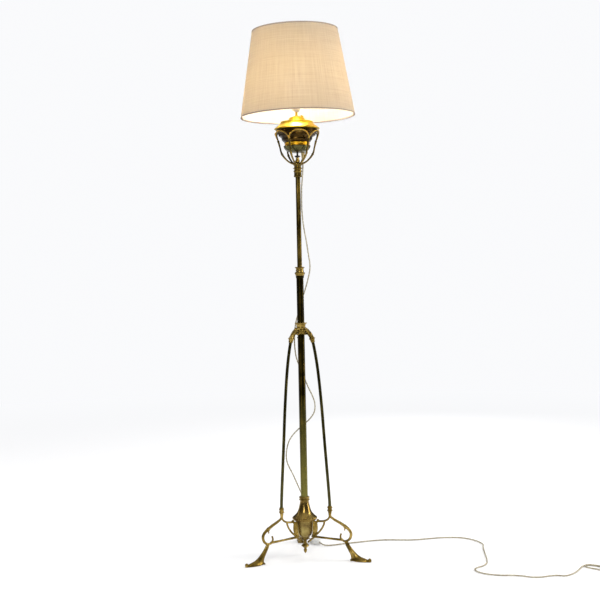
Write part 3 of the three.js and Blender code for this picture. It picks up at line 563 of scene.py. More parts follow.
TIE_HALF = 22.4
TIE_TOP = 6.6
tie_inner = [(-20.9, 0.2)] + [
    (-20.9 + 2 * (1 - math.cos(a)), 3.1 + 2 * math.sin(a)) for a in (0, 0.5, 1, 1.57)
]
tie_outer = [(-TIE_HALF, 0.2)] + [
    (-TIE_HALF + 3.4 * (1 - math.cos(a)), TIE_TOP - 3.4 + 3.4 * math.sin(a)) for a in (0, 0.5, 1, 1.57)
]
tie_outline = [*tie_inner, *[(-x, z) for x, z in reversed(tie_inner)]]
tie_outline += [*[(-x, z) for x, z in tie_outer], *reversed(tie_outer)]
tie = outline_block("hank_band", tie_outline, -4, 4, 0.3, 2)
stand_up = Matrix(((0, 0, 1, 0), (1, 0, 0, 0), (0, 1, 0, 0), (0, 0, 0, 1)))
tie.data.transform(stand_up)
put(tie, hank_centre, HANK_TURN)
fit(tie, "root", "white_plastic", white_plastic, "hank_tie")

PLUG_TURN = 0.3
plug_centre = middle_of("plug_pin_earth") - Matrix.Rotation(PLUG_TURN, 3, "Z") @ Vector((0, 11 * MM, 0))
plug_outline = [
    (-18, -24), (18, -24), (23, -22), (25.6, -18), (26, -12), (25.2, 0), (24, 12), (21.5, 18),
    (16, 22.4), (8, 24.6), (0, 25), (-8, 24.6), (-16, 22.4), (-21.5, 18), (-24, 12), (-25.2, 0),
    (-26, -12), (-25.6, -18), (-23, -22),
]
plug_shell = outline_block("plug_shell", plug_outline, 0.1, 22.1, 2.6, 4)
put(plug_shell, plug_centre, PLUG_TURN)
fit(plug_shell, "root", "white_plastic", white_plastic, "plug_body")
relief_wall = [(0, 0), (2.5, 0), (2.8, 0.6)]
for i in range(5):
    foot = 1.6 + 3.6 * i
    width = 2.8 + 0.34 * i
    relief_wall += [
        (width, foot), *bead((width, foot + 0.4), (width + 0.2, foot + 2.6), 0.25, 4),
        (width - 0.4, foot + 3.1)
    ]
relief_wall += [(4.6, 20), (0, 20)]
relief = turned("plug_sleeve", relief_wall, 28, centre=Vector())
relief.data.transform(
    Matrix.Translation((0, -44.3 * MM, 5.2 * MM)) @ Matrix.Rotation(-math.pi / 2, 4, "X")
)
put(relief, plug_centre, PLUG_TURN)
fit(relief, "root", "white_plastic", white_plastic, "plug_relief")

# ---------------------------------------------------------------- column tubes
# Drawn brass tubes, lacquered long ago and gone dark olive-brown, with streaks along the drawing
# direction. The lower tube has its threaded plug and tie rod inside, the upper one its bush.
def brass(name, dark, mid, worn, streaks=0.0, shine=(0.2, 0.42), wear=0.55, foot=None):
    """Aged brass: tarnish in clouds, bright on its edges, dark brown in its hollows as tarnish with
    painted shade, fine scratches; a foot adds a painted reflection of the white floor, lighter low down.
    """
    made, tree, shader = material(name)
    place = node(tree, "ShaderNodeTexCoord").outputs["Object"]
    cloud = node(
        tree, "ShaderNodeTexNoise", Vector=place, Scale=26.0, Detail=6.0, Roughness=0.62
    ).outputs[0]
    spots = node(tree, "ShaderNodeTexNoise", Vector=place, Scale=210.0, Detail=4.0).outputs[0]
    stretched = node(tree, "ShaderNodeMapping", Vector=place, Scale=(260, 260, 5)).outputs[0]
    drawn = node(tree, "ShaderNodeTexNoise", Vector=stretched, Scale=1.0, Detail=3.0).outputs[0]
    rubbed = node(
        tree, "ShaderNodeMath", {"operation": "MULTIPLY_ADD"}, _0=drawn, _1=streaks, _2=cloud
    ).outputs[0]
    shift = node(
        tree, "ShaderNodeMath", {"operation": "SUBTRACT"}, _0=rubbed, _1=streaks / 2
    ).outputs[0]
    speckle = 0.04 if streaks else 0.14
    mottled = node(
        tree, "ShaderNodeMath", {"operation": "MULTIPLY_ADD"}, _0=spots, _1=speckle, _2=shift
    ).outputs[0]
    tone = ramp(tree, mottled, [(0.36, dark), (0.56, mid), (0.84, worn)])
    edge = node(tree, "ShaderNodeNewGeometry").outputs["Pointiness"]
    bright = ramp(tree, edge, [(0.53, 0.0), (0.66, wear)])
    # Hollows darken to the dark tarnish colour: tarnish there, with painted shade where light reaches
    # less.
    hollow_shade = ramp(tree, edge, [(0.34, 0.85), (0.47, 0.0)])
    lit = node(
        tree, "ShaderNodeMix", {"data_type": "RGBA"}, _0=bright, _6=tone, _7=(*worn, 1)
    ).outputs[2]
    tone_with_painted_light = node(
        tree, "ShaderNodeMix", {"data_type": "RGBA"}, _0=hollow_shade, _6=lit, _7=(*dark, 1)
    ).outputs[2]
    # A foot is a painted reflection of the white floor: up to its lower height the colour blends by its
    # share towards its lighter tone, fading back to the brass by its upper height.
    if foot:
        height = node(tree, "ShaderNodeSeparateXYZ", _0=place).outputs["Z"]
        low = node(
            tree, "ShaderNodeMapRange", Value=height, From_Min=foot[0], From_Max=foot[1],
            To_Min=foot[2], To_Max=0.0
        ).outputs[0]
        tone_with_painted_light = node(
            tree, "ShaderNodeMix", {"data_type": "RGBA"}, _0=low, _6=tone_with_painted_light, _7=(*foot[3], 1)
        ).outputs[2]
    tree.links.new(tone_with_painted_light, shader.inputs["Base Color"])
    shader.inputs["Metallic"].default_value = 1.0
    tree.links.new(ramp(tree, mottled, [(0.35, shine[1]), (0.8, shine[0])]), shader.inputs["Roughness"])
    relief = node(
        tree, "ShaderNodeBump", Strength=0.02 if streaks else 0.1, Distance=0.0002, Height=spots
    )
    lines = node(
        tree, "ShaderNodeBump", Strength=0.06, Distance=0.0001, Height=drawn, Normal=relief.outputs[0]
    )
    tree.links.new(lines.outputs[0], shader.inputs["Normal"])
    return made


# Its foot paints the white floor's reflection onto the lower column as a lighter colour.
column_brass = brass(
    "column_brass", (0.006, 0.004, 0.001), (0.02, 0.015, 0.002), (0.11, 0.068, 0.012), streaks=0.7,
    shine=(0.15, 0.3), wear=0.3, foot=(0.14, 0.5, 0.9, (0.2, 0.18, 0.045)),
)
tube_brass = brass(
    "tube_brass", (0.02, 0.013, 0.002), (0.1, 0.068, 0.012), (0.24, 0.145, 0.025), streaks=0.5,
    shine=(0.3, 0.46), wear=0.3,
)
# Its foot paints the white floor's reflection onto the legs' lower ends as a lighter colour.
leg_brass = brass(
    "leg_brass", (0.008, 0.007, 0.001), (0.032, 0.028, 0.006), (0.13, 0.1, 0.025), streaks=0.7,
    shine=(0.18, 0.34), wear=0.3, foot=(0.14, 0.34, 0.6, (0.12, 0.11, 0.04)),
)
cast_brass = brass(
    "cast_brass", (0.035, 0.022, 0.004), (0.22, 0.145, 0.03), (0.56, 0.4, 0.12), shine=(0.2, 0.42)
)
spun_brass = brass(
    "spun_brass", (0.06, 0.034, 0.008), (0.24, 0.155, 0.04), (0.5, 0.35, 0.1), shine=(0.16, 0.34)
)

lower_wall = [(11, 140.4 + 725.2 * k / 40) for k in range(41)]
lower_tube = turned(
    "lower_tube", [(9.8, 140), (10.6, 140), *lower_wall, (10.6, 866), (9.8, 866), (9.8, 500)], 72
)
fit(lower_tube, "root", "aged_brass", column_brass, "outer_tube")
upper_wall = [(7.3, 520.4 + 658.2 * k / 40) for k in range(41)]
upper_tube = turned(
    "upper_tube", [(6.3, 520), (7, 520), *upper_wall, (7, 1179), (6.3, 1179), (6.3, 850)], 64
)
fit(upper_tube, "head", "aged_brass", tube_brass, "inner_tube")


def finish_cad(finish, *names):
    """Gives its finish to each piece that stays as its CAD solid."""
    for name in names:
        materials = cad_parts[name].data.materials
        materials.clear()
        materials.append(finish)


finish_cad(cast_brass, "slide_bush", "tube_plug", "clamp_collet")
tie_rod = turned(
    "threaded_rod",
    [(0, 30), (4.2, 30), (4.7, 30.5), (4.7, 56)]
    + [(4.7 - 0.35 * (k % 2), 56 + k * 0.75) for k in range(105)]
    + [(4, 136), (4, 158), (3.5, 159), (0, 159)],
    32,
)
fit(tie_rod, "root", "gold_brass", cast_brass, "tie_rod")

# ---------------------------------------------------------------- telescope clamp
# Turned brass ferrule on the lower tube, with a split collet inside and a flared collar that
# draws it tight on the upper tube.
clamp_sleeve = turned(
    "clamp_sleeve",
    [(11.3, 858), (12, 858), (12.3, 858.6), (12.4, 862), (12.8, 864.6), (13.4, 866.3), (11.3, 866.3)],
    72,
)
fit(clamp_sleeve, "root", "aged_brass", column_brass, "clamp_body")
clamp_body = turned(
    "clamp_ferrule",
    [(8.9, 866.5), (13.4, 866.5), (13.9, 867.6), (14.2, 869.6),
     *bead((14.2, 870), (14.2, 876.2), 1.9, 9), (12.9, 876.6), (12.3, 877.6), (12.2, 880),
     (8.9, 880)],
    72,
)
fit(clamp_body, "root", "aged_brass", cast_brass)
clamp_collar = turned(
    "clamp_collar",
    [(8.9, 880.4), (11.9, 880.4), *bead((12.1, 880.6), (12.1, 882.6), 0.5, 5), (11.8, 883),
     (11.6, 884.6), (11.8, 886.4), (12.4, 888), (13.6, 889.4), (15.4, 890.4), (15.8, 891),
     (15.4, 891.6), (13.6, 891.9), (12, 893), (7.65, 893), (7.65, 889), (8.9, 888)],
    72,
)
fit(clamp_collar, "clamp", "aged_brass", cast_brass, "clamp_nut")

# ---------------------------------------------------------------- spider
# Cast collar with a leafy lip, three double arms down to flanged leg sockets, and a pierced
# quatrefoil with two leaf scrolls between each pair of arms. One casting, chased and lacquered.
LEG_TURNS = (0, TURN / 3, -TURN / 3)


def rod(points, radius, sides=14, flat=1.0, step=1.2):
    """A bar along a smooth line of millimetre points; radius may depend on the share along it."""
    line = smooth_line([Vector(p) * MM for p in points], step * MM)
    rings = []
    for i, (point, (u, v)) in enumerate(zip(line, frames_along(line))):
        share = i / (len(line) - 1)
        r = (radius(share) if callable(radius) else radius) * MM
        angles = [TURN * k / sides for k in range(sides)]
        rings.append([point + r * (u * math.cos(a) + flat * v * math.sin(a)) for a in angles])
    return skin("rod", rings)


def joined(name, parts, voxel=None, smooth=2):
    """Joins pieces into one; with a voxel size in millimetres they melt together as one casting."""
    shape = bmesh.new()
    for part in parts:
        part.data.update()
        shape.from_mesh(part.data)
        bpy.data.objects.remove(part)
    mesh = bpy.data.meshes.new(name)
    shape.to_mesh(mesh)
    shape.free()
    made = bpy.data.objects.new(name, mesh)
    bpy.context.collection.objects.link(made)
    if voxel:
        melt = made.modifiers.new("melt", "REMESH")
        melt.mode = "VOXEL"
        melt.voxel_size = voxel * MM
        settle = made.modifiers.new("settle", "SMOOTH")
        settle.iterations = smooth
        settle.factor = 0.5
        bake(made, 60)
    return made


def moved(piece, matrix):
    """The same piece with its mesh moved."""
    piece.data.transform(matrix)
    return piece


def swung(turn):
    """Turns a piece made at the rear about the column's axis, clockwise from above."""
    return Matrix.Translation(AXIS) @ Matrix.Rotation(-turn, 4, "Z")


SOCKET_R = 37.4
SOCKET_Z = 671
SOCKET_LEAN = 0.24
spider_parts = [
    moved(turned("collar", [
        (10.6, 688), (13.2, 688), *bead((13.3, 688.6), (13.3, 692), 0.6), (13, 693), (13.2, 701),
        *bead((13.6, 702), (13.6, 707), 1.9), (13.5, 708.5), (14, 713), (15.5, 716.5),
        (18.2, 719.4), (18.4, 720.6), (16, 721), (14, 722), (10.6, 722),
    ], 72, centre=Vector()), Matrix.Translation(AXIS))
]
for turn in LEG_TURNS:
    cup = turned("cup", [
        (0, 7), (0.01, 14), (3.2, 13.6), (5.4, 11), (6.8, 7), (7.4, 4), (9.9, 2.8), (10.2, 1.2),
        (7.4, 0), (7.8, -2), (6.6, -3), (6.3, -8.4), (6.8, -9), (6.3, -9.8), (0, -9.8),
    ], 36, centre=Vector())
    place = Matrix.Translation((0, SOCKET_R * MM, SOCKET_Z * MM)) @ Matrix.Rotation(SOCKET_LEAN, 4, "X")
    spider_parts.append(moved(cup, swung(turn) @ place))
    for side in (-1, 1):
        rib = rod(
            [(side * 4.6, 12, 704.5), (side * 5.4, 17, 701.5), (side * 5.2, 23, 696),
             (side * 4.6, 29, 689.5), (side * 3.4, 34.5, 682), (side * 2.2, 37, 675)],
            lambda s: 3.1 + 0.5 * math.sin(math.pi * s), 12, 1.1, 1.0,
        )
        spider_parts.append(moved(rib, swung(turn)))
    web = rod([(0, 13, 692), (0, 20, 688), (0, 27, 681), (0, 33.5, 668)], 2.6, 10, 0.8)
    spider_parts.append(moved(web, swung(turn)))
for turn in (TURN / 6, TURN / 2, 5 * TURN / 6):
    petals = []
    for k in range(4):
        a = TURN * k / 4
        lobe = [(3.4 * math.cos(a) + 2.9 * math.cos(b), 15.2,
                 694 + 3.4 * math.sin(a) + 2.9 * math.sin(b))
                for b in [TURN * j / 12 for j in range(13)]]
        petals.append(rod(lobe, 1.5, 8, 1.0, 0.8))
    for side in (-1, 1):
        petals.append(rod(
            [(side * 5, 15.2, 690.5), (side * 9, 14.6, 687), (side * 13.5, 13.8, 686),
             (side * 17.4, 13.2, 688.2), (side * 18, 13, 691), (side * 16, 13.2, 691.6)],
            lambda s: 2.8 - 1.2 * s, 10, 0.8, 0.8,
        ))
        petals.append(
            rod([(side * 8, 14.4, 688), (side * 10.5, 14, 692.5), (side * 9, 14, 695)],
                lambda s: 1.7 - 0.9 * s, 8)
        )
        petals.append(
            rod([(side * 3, 14, 699), (side * 7, 12.4, 702.5), (side * 9.5, 11.5, 703)], 1.5, 8)
        )
    spider_parts += [moved(petal, swung(turn)) for petal in petals]
spider = joined("spider_casting", spider_parts, 0.55, 2)
bore = turned("bore", [(0, 640), (11.3, 640), (11.3, 760), (0, 760)], 72)
cut_away(spider, bore)


def geometry_tree(name, **kinds):
    """A new Geometry Nodes tree with named inputs: the tree, its inputs and its output node."""
    tree = bpy.data.node_groups.new(name, "GeometryNodeTree")
    face = tree.interface
    face.new_socket("Geometry", in_out="INPUT", socket_type="NodeSocketGeometry")
    for key, kind in kinds.items():
        face.new_socket(key, in_out="INPUT", socket_type=f"NodeSocket{kind}")
    face.new_socket("Geometry", in_out="OUTPUT", socket_type="NodeSocketGeometry")
    given = tree.nodes.new("NodeGroupInput").outputs
    return tree, given, tree.nodes.new("NodeGroupOutput")


def ring_of_lugs():
    """Geometry Nodes: rounded lugs set round a circle, each looking outwards."""
    tree, given, out = geometry_tree(
        "ring_of_lugs", Count="Int", Radius="Float", Height="Float", Size="Vector", Tilt="Float",
        Finish="Material",
    )
    circle = node(
        tree, "GeometryNodeCurvePrimitiveCircle", Resolution=given["Count"], Radius=given["Radius"]
    )
    outward = node(tree, "GeometryNodeInputPosition").outputs[0]
    facing = node(tree, "FunctionNodeAlignRotationToVector", {"axis": "X"}, Vector=outward).outputs[0]
    lean = node(tree, "ShaderNodeCombineXYZ", Y=given["Tilt"]).outputs[0]
    leaned = node(tree, "FunctionNodeRotateRotation", {"rotation_space": "LOCAL"}, Rotation=facing,
                  Rotate_By=node(tree, "FunctionNodeEulerToRotation", Euler=lean).outputs[0]).outputs[0]
    lug = node(tree, "GeometryNodeMeshIcoSphere", Radius=1.0, Subdivisions=2)
    rounded = node(tree, "GeometryNodeSetShadeSmooth", Geometry=lug.outputs[0])
    placed = node(
        tree, "GeometryNodeInstanceOnPoints", Points=circle.outputs[0], Instance=rounded.outputs[0],
        Rotation=leaned, Scale=given["Size"],
    )
    up = node(tree, "ShaderNodeCombineXYZ", Z=given["Height"]).outputs[0]
    raised = node(tree, "GeometryNodeTransform", Geometry=placed.outputs[0], Translation=up)
    real = node(tree, "GeometryNodeRealizeInstances", Geometry=raised.outputs[0])
    painted = node(tree, "GeometryNodeSetMaterial", Geometry=real.outputs[0], Material=given["Finish"])
    tree.links.new(painted.outputs[0], out.inputs[0])
    return tree


LUGS = ring_of_lugs()


def made_by(tree, name, source=None, **inputs):
    """Runs a Geometry Nodes tree once and keeps its result as a plain mesh."""
    start = source or bpy.data.objects.new(name, bpy.data.meshes.new(name))
    bpy.context.collection.objects.link(start)
    run = start.modifiers.new("make", "NODES")
    run.node_group = tree
    names = {item.name: item.identifier for item in tree.interface.items_tree if item.in_out == "INPUT"}
    for key, value in inputs.items():
        run[names[key.replace("_", " ")]] = value
    graph = bpy.context.evaluated_depsgraph_get()
    mesh = bpy.data.meshes.new_from_object(start.evaluated_get(graph))
    bpy.data.objects.remove(start)
    made = bpy.data.objects.new(name, mesh)
    bpy.context.collection.objects.link(made)
    return made


def lugs(name, count, radius, height, size, tilt, finish):
    """A ring of lugs about the column, sizes in millimetres."""
    made = made_by(
        LUGS, name, Count=count, Radius=radius * MM, Height=height * MM,
        Size=[s * MM for s in size], Tilt=tilt, Finish=finish,
    )
    return moved(made, Matrix.Translation(AXIS))


spider_lip = lugs("spider_lip", 18, 17, 719.6, (2.4, 2.5, 1.4), -0.5, cast_brass)
spider_beads = lugs("spider_beads", 40, 14, 710, (0.8, 0.8, 0.8), 0, cast_brass)
fit(spider, "root", "gold_brass", cast_brass, "spider")
for piece in (spider_lip, spider_beads):
    fit(piece, "root", "gold_brass", cast_brass)

# ---------------------------------------------------------------- legs
# Three bowed brass tubes between the spider's sockets and the lower castings. Each casting is one
# piece: ringed socket, scroll with a knuckle, inner stay, quarter arc, web, brace and long foot.
leg_line = [
    (0, 85.3, 146.8), (0, 85.3, 166), (0, 82.4, 215), (0, 77.8, 279), (0, 70.8, 377),
    (0, 65.2, 460), (0, 57.4, 548), (0, 51.6, 596), (0, 45.4, 634), (0, 39, 664.5),
    (0, 36.3, 675.5),
]
foot_rows = [
    # height, distance from the column's axis, half length, half width
    (0, 186, 33, 12.3), (0.8, 186, 33.4, 12.6), (3.4, 185.8, 33, 12.2), (4.6, 184.5, 31.5, 10.8),
    (8, 178, 25, 8.6), (13, 169, 16.8, 7), (19, 162.5, 12.2, 6), (26, 156.5, 10.2, 5.8),
    (34, 150.4, 8.6, 5.2), (42, 144.8, 7.6, 4.8), (50, 140.2, 6.8, 4.4), (56, 137.2, 6, 4.2),
    (60, 135.6, 3.6, 3),
]


def leg_casting(side, turn):
    """One lower casting, drawn in the plane of the rear leg and swung round to its own place."""
    def stay(points, radius, flat=1.0):
        return rod([(0, r, z) for r, z in points], radius, 14, flat, 1.0)

    socket = turned("socket", [
        (0, 126.5), (4, 126.6), (4.2, 131), (4.8, 138), (5.9, 143), (6.4, 144.4),
        *bead((6.8, 144.8), (6.8, 149.4), 1.6), (6.4, 150), (6.4, 153.4),
        *bead((6.8, 154), (6.8, 158.2), 1.5), (6.3, 158.8), (6.5, 161), (0, 161),
    ], 40, centre=Vector((0, 85.3 * MM, 0)))
    scroll = stay(
        [(85.8, 131), (88, 127.5), (93, 123.6), (105, 117.3), (120, 110.6), (136, 101.5),
         (146.5, 94), (153.2, 85), (154, 76), (150, 65.5), (141, 58.2), (132.5, 56.4),
         (124.5, 59.4), (119.6, 66), (119.4, 72), (121.2, 76.5)],
        lambda s: 3.5 + 1.2 * math.sin(math.pi * min(1, s * 1.25)) - 1.0 * max(0, s - 0.86) / 0.14,
    )
    tip = turned(
        "tip", [(0, -3.4), (2.4, -2.4), (3.4, 0), (2.4, 2.4), (0, 3.4)], 16,
        centre=Vector((0, 121 * MM, 76.6 * MM))
    )
    knuckle = turned("knuckle", [(0, -6.4), *bead((4, -6), (4, -2.2), 1.2, 5),
                                 *bead((4.2, -2), (4.2, 2), 2.4, 7),
                                 *bead((4, 2.2), (4, 6), 1.2, 5), (0, 6.4)], 24, centre=Vector())
    moved(
        knuckle, Matrix.Translation((0, 135 * MM, 102 * MM)) @ Matrix.Rotation(1.01 + math.pi, 4, "X")
    )
    spur = stay([(138, 99), (133, 92), (134, 88.5)], lambda s: 3 - 1.4 * s)
    inner = stay(
        [(84.8, 131), (83, 125.5), (78, 119), (67.5, 113.4), (53, 111), (41, 110.4)],
        lambda s: 2.9 + 0.6 * s
    )
    arc = stay([(67, 113), (64.6, 103), (60, 93), (53, 83), (44, 73.5), (33.5, 64.5)], 3.0)
    brace = stay([(127, 59.5), (95, 60), (60, 60.8), (30, 61.5)], lambda s: 3.3 + 0.5 * abs(2 * s - 1))
    to_rod = stay([(36, 63), (24, 54.5), (9.5, 42.5)], 2.9)
    web_outline = [
        (27, 110.6), (27, 84), (26.6, 76), (24.6, 68.5), (20, 60.5), (27, 59.5), (35, 65.5),
        (40.5, 74), (43.2, 84), (43.4, 93), (42.2, 104), (46.5, 109.4), (50, 112.4), (44.8, 118),
        (42, 115), (40.3, 111.2), (34, 110.6),
    ]
    web = outline_block("web", web_outline, -1.7, 1.7, 0.5, 2)
    web.data.transform(stand_up)
    boss = turned("boss", [(0, -3.2), (3.6, -3), (4.4, 0), (3.6, 3), (0, 3.2)], 24, centre=Vector())
    moved(boss, Matrix.Translation((0, 44.4 * MM, 113 * MM)) @ Matrix.Rotation(math.pi / 2, 4, "Y"))
    rings = []
    for z, r, half_length, half_width in foot_rows:
        row = []
        for k in range(36):
            a = TURN * k / 36
            s, c = math.sin(a), math.cos(a)
            narrow = 1 - 0.42 * max(0, s) ** 1.5 if z < 14 else 1
            row.append(Vector((half_width * c * narrow * MM, (r + half_length * s) * MM, z * MM)))
        rings.append(row)
    foot = skin("foot", rings)
    toe = turned(
        "toe", [(0, 0.2), (3.6, 0.3), (5.2, 3.2), (5.5, 6), (4.2, 9.2), (2, 10.8), (0, 11.2)], 24,
        centre=Vector((0, 213.8 * MM, 0)),
    )
    heel = rod(
        [(-11.5, 157, 2.2), (-6, 154.6, 2.6), (0, 153.9, 3), (6, 154.6, 2.6), (11.5, 157, 2.2)], 2.1, 10
    )
    parts = [socket, scroll, tip, knuckle, spur, inner, arc, brace, to_rod, web, boss, foot, toe, heel]
    casting = joined(f"leg_bracket_{side}", parts, 0.72, 2)
    low = min(v.co.z for v in casting.data.vertices)
    for v in casting.data.vertices:
        v.co.z = max(v.co.z - low, 0.0)
    moved(casting, swung(turn))
    fit(casting, "root", "gold_brass", cast_brass, f"leg_casting_{side}")


LEG_TUBE_R = 4.65
for side, turn in zip(("rear", "right", "left"), LEG_TURNS):
    leg_casting(side, turn)
    leg = moved(rod(leg_line, LEG_TUBE_R, 28, 1.0, 6.0), swung(turn))
    leg.name = f"bowed_leg_{side}"
    fit(leg, "root", "aged_brass", leg_brass, f"leg_tube_{side}")

# ---------------------------------------------------------------- urn
# Spun urn at the foot of the column: ringed ferrule, bell cover with a gadrooned rim, tapered
# bowl and cup, all drawn up by the tie rod, with a faceted nut and an acorn under them.
ferrule = turned(
    "urn_ferrule",
    [(11.3, 171.3), (13.6, 171.3), (14.6, 172.4), *bead((15, 172.8), (15, 177), 1.9), (14.3, 177.6),
     (14.2, 179), *bead((15, 179.6), (15, 183.6), 1.7), (14, 184.2), (13.4, 185), (11.3, 185)],
    72,
)
fit(ferrule, "root", "gold_brass", cast_brass, "urn_ring")


def gadroons(count, depth, low, high, least):
    """Rounded lobes round a rim, between two heights and outside a least radius."""

    def wave(a, r, z):
        return depth * abs(math.cos(count * a / 2)) ** 0.7 if low <= z <= high and r > least else 0

    return wave


bell_rim = [(36.4 + 1.4 * math.sin(math.pi * k / 8), 115 + 6 * k / 8) for k in range(9)]
cover = turned(
    "urn_bell",
    [(34, 112), (35.4, 112), (36.2, 114), *bell_rim, (35.4, 122.4), (33, 124.6), (29.6, 127.8),
     (26.4, 131), (23.4, 135), (21, 139.4), (19.2, 144.6), (17.6, 150), (16.2, 155.4), (15, 160.6),
     (14.2, 165), (13.8, 168), (13.6, 171), (11.3, 171), (11.6, 165), (13.2, 156), (15.2, 148.6),
     (18.2, 141), (21.4, 135), (25.4, 129.8), (31, 124.6), (33.4, 121), (33.8, 117)],
    160,
    wave=gadroons(40, 0.9, 114.8, 121.6, 33),
)
fit(cover, "root", "gold_brass", spun_brass, "urn_cover")
urn_tarnish = brass(
    "urn_brass", (0.085, 0.045, 0.018), (0.26, 0.19, 0.06), (0.42, 0.34, 0.12), shine=(0.18, 0.4),
    wear=0.4
)
bowl = turned(
    "urn_body",
    [(5, 56.3), (12.6, 56.3), *bead((13, 56.6), (14.2, 59), 0.7, 5), (15.4, 60.2), (18.6, 63.6),
     (21.4, 67.6), (23.3, 72), (24.5, 78), (25.2, 85), (25.6, 92), (25.8, 99), (26, 105), (26, 112),
     *bead((26, 112.6), (26, 115.4), 0.5, 5), (25.6, 117), (24.5, 117), (24.4, 100), (23.8, 85),
     (22, 72), (19, 65.6), (13, 59.6), (5, 58.5)],
    96,
)
fit(bowl, "root", "gold_brass", urn_tarnish, "urn_bowl")
cup = turned(
    "urn_foot_cup",
    [(5, 50.4), (10, 50.4), (10.8, 51), *bead((11.4, 51.4), (12, 54.4), 1.0), (11.6, 55),
     (11.8, 56), (5, 56)], 64,
)
fit(cup, "root", "gold_brass", cast_brass, "urn_cup")


def facets(count, depth, low):
    return lambda a, r, z: -depth * abs(math.sin(count * a / 2)) ** 1.3 if r > low else 0


nut = turned(
    "faceted_nut",
    [(3, 25), (5.6, 25), (6.2, 25.6), (8, 27), (10.4, 29), (12, 30.8), (12.5, 31.6), (12, 32.6),
     (10.2, 34.2), (8.2, 35.8), (7, 36.6), (6.6, 37.4), (6.2, 38), (5, 38), (5, 29.6), (3, 29.6)],
    96,
    wave=facets(10, 0.8, 7.5),
)
fit(nut, "root", "gold_brass", cast_brass, "base_knob")
acorn = turned(
    "acorn",
    [(0, 7.5), (0.8, 7.8), (2, 8.8), (3.4, 10.8), (4.5, 13.2), (5.1, 15.6), (5.2, 17.4),
     *bead((5.1, 17.8), (4.9, 19.8), 0.55, 5), (4.3, 20.6), (3.9, 22), (4.3, 23.2), (4.4, 24.7),
     (2.6, 24.7), (2.6, 29), (0, 29.2)],
    48,
)
fit(acorn, "root", "gold_brass", cast_brass, "base_acorn")

# ---------------------------------------------------------------- font cage
# Cast crown that carries the oil font: hub on a turned socket, six bowed uprights with a knop on
# each, and a beaded arch with a small loop from every upright to the next.
CAGE_TURN = math.radians(28.5)
socket_shell = turned(
    "head_ferrule",
    [(7.6, 1167.5), (10.6, 1167.5), (11.2, 1168), *bead((11.4, 1168.4), (11.6, 1172), 0.9),
     (11.4, 1172.6), (11.2, 1178), (11.4, 1182.6), *bead((11.6, 1183), (12.2, 1187.6), 1.1),
     (11, 1188.8), (10.4, 1190), (10.8, 1191.6), (12.6, 1193), (14.4, 1193.8), (14.5, 1195),
     (13, 1195.9), (11, 1197.2), (10.2, 1199.7), (4, 1199.7), (4, 1181), (7.6, 1180.5)],
    72,
)
fit(socket_shell, "head", "gold_brass", cast_brass, "head_socket")


def upright_path(turn):
    return [
        (r * math.sin(turn), r * math.cos(turn), z)
        for r, z in [(9, 1207.6), (15, 1208.8), (22, 1211.8), (29, 1216.2), (35, 1221.8),
                     (41.5, 1229), (47, 1237.4), (50.4, 1246), (52.6, 1256), (55, 1266),
                     (57.6, 1276)]
    ]


def arch_path(middle, steps=24):
    """The arch between two uprights: it rises and swells outwards to its crown."""
    points = []
    for k in range(steps + 1):
        t = math.pi * k / steps
        r, a = 58 + 9 * math.sin(t), middle - math.pi / 6 * math.cos(t)
        points.append((r * math.sin(a), r * math.cos(a), 1277 + 28 * math.sin(t)))
    return points


cage_parts = [turned("hub", [
    (3.4, 1204.2), (11.2, 1200.3), (11.9, 1201.4), (11.8, 1203),
    *bead((12, 1203.4), (12.6, 1207.8), 1.1), (12, 1208.6), (11.4, 1210.6), (9, 1212.4),
    (5, 1213.4), (3.4, 1213.4),
], 64, centre=Vector())]
for i in range(6):
    turn = CAGE_TURN + TURN * i / 6
    cage_parts.append(
        rod(upright_path(turn), lambda s: 2.6 + 0.5 * math.cos(TURN * s) ** 2, 12, 1.0, 1.2)
    )
    knop = turned("knop", [(0, -4.4), *bead((2.4, -4), (2.6, -1.4), 0.9, 4),
                           *bead((2.6, -1.2), (2.6, 1.6), 1.7, 6),
                           *bead((2.5, 1.8), (2.4, 4), 0.9, 4), (0, 4.4)], 20, centre=Vector())
    round_to = Matrix.Rotation(-turn, 4, "Z")
    out_to = Matrix.Translation((0, 47 * MM, 1237.4 * MM))
    cage_parts.append(moved(knop, round_to @ out_to @ Matrix.Rotation(-0.5, 4, "X")))
    collar = turned("collar", [(0, -3), *bead((2.6, -2.8), (2.6, -0.6), 1.0, 4),
                               *bead((2.6, -0.4), (2.6, 2.4), 1.5, 5),
                               (0, 2.8)], 20, centre=Vector())
    out_to = Matrix.Translation((0, 57.8 * MM, 1276.6 * MM))
    cage_parts.append(moved(collar, round_to @ out_to @ Matrix.Rotation(-0.25, 4, "X")))
    cage_parts.append(rod(arch_path(turn + TURN / 12), 2.4, 10, 1.0, 1.4))
    crown = turn + TURN / 12
    loop = []
    for b in [TURN * j / 12 for j in range(13)]:
        aside = 2.6 * math.cos(b)
        loop.append((
            67.4 * math.sin(crown) + aside * math.cos(crown),
            67.4 * math.cos(crown) - aside * math.sin(crown),
            1305 - 3.4 + 2.6 * math.sin(b),
        ))
    cage_parts.append(rod(loop, 1.0, 8, 1.0, 0.8))
cage_brass = brass(
    "cage_brass", (0.018, 0.012, 0.003), (0.1, 0.068, 0.016), (0.42, 0.28, 0.07), shine=(0.2, 0.38)
)
cage = moved(joined("cage_casting", cage_parts, 0.6, 1), Matrix.Translation(AXIS))
fit(cage, "head", "gold_brass", cage_brass, "font_cage")


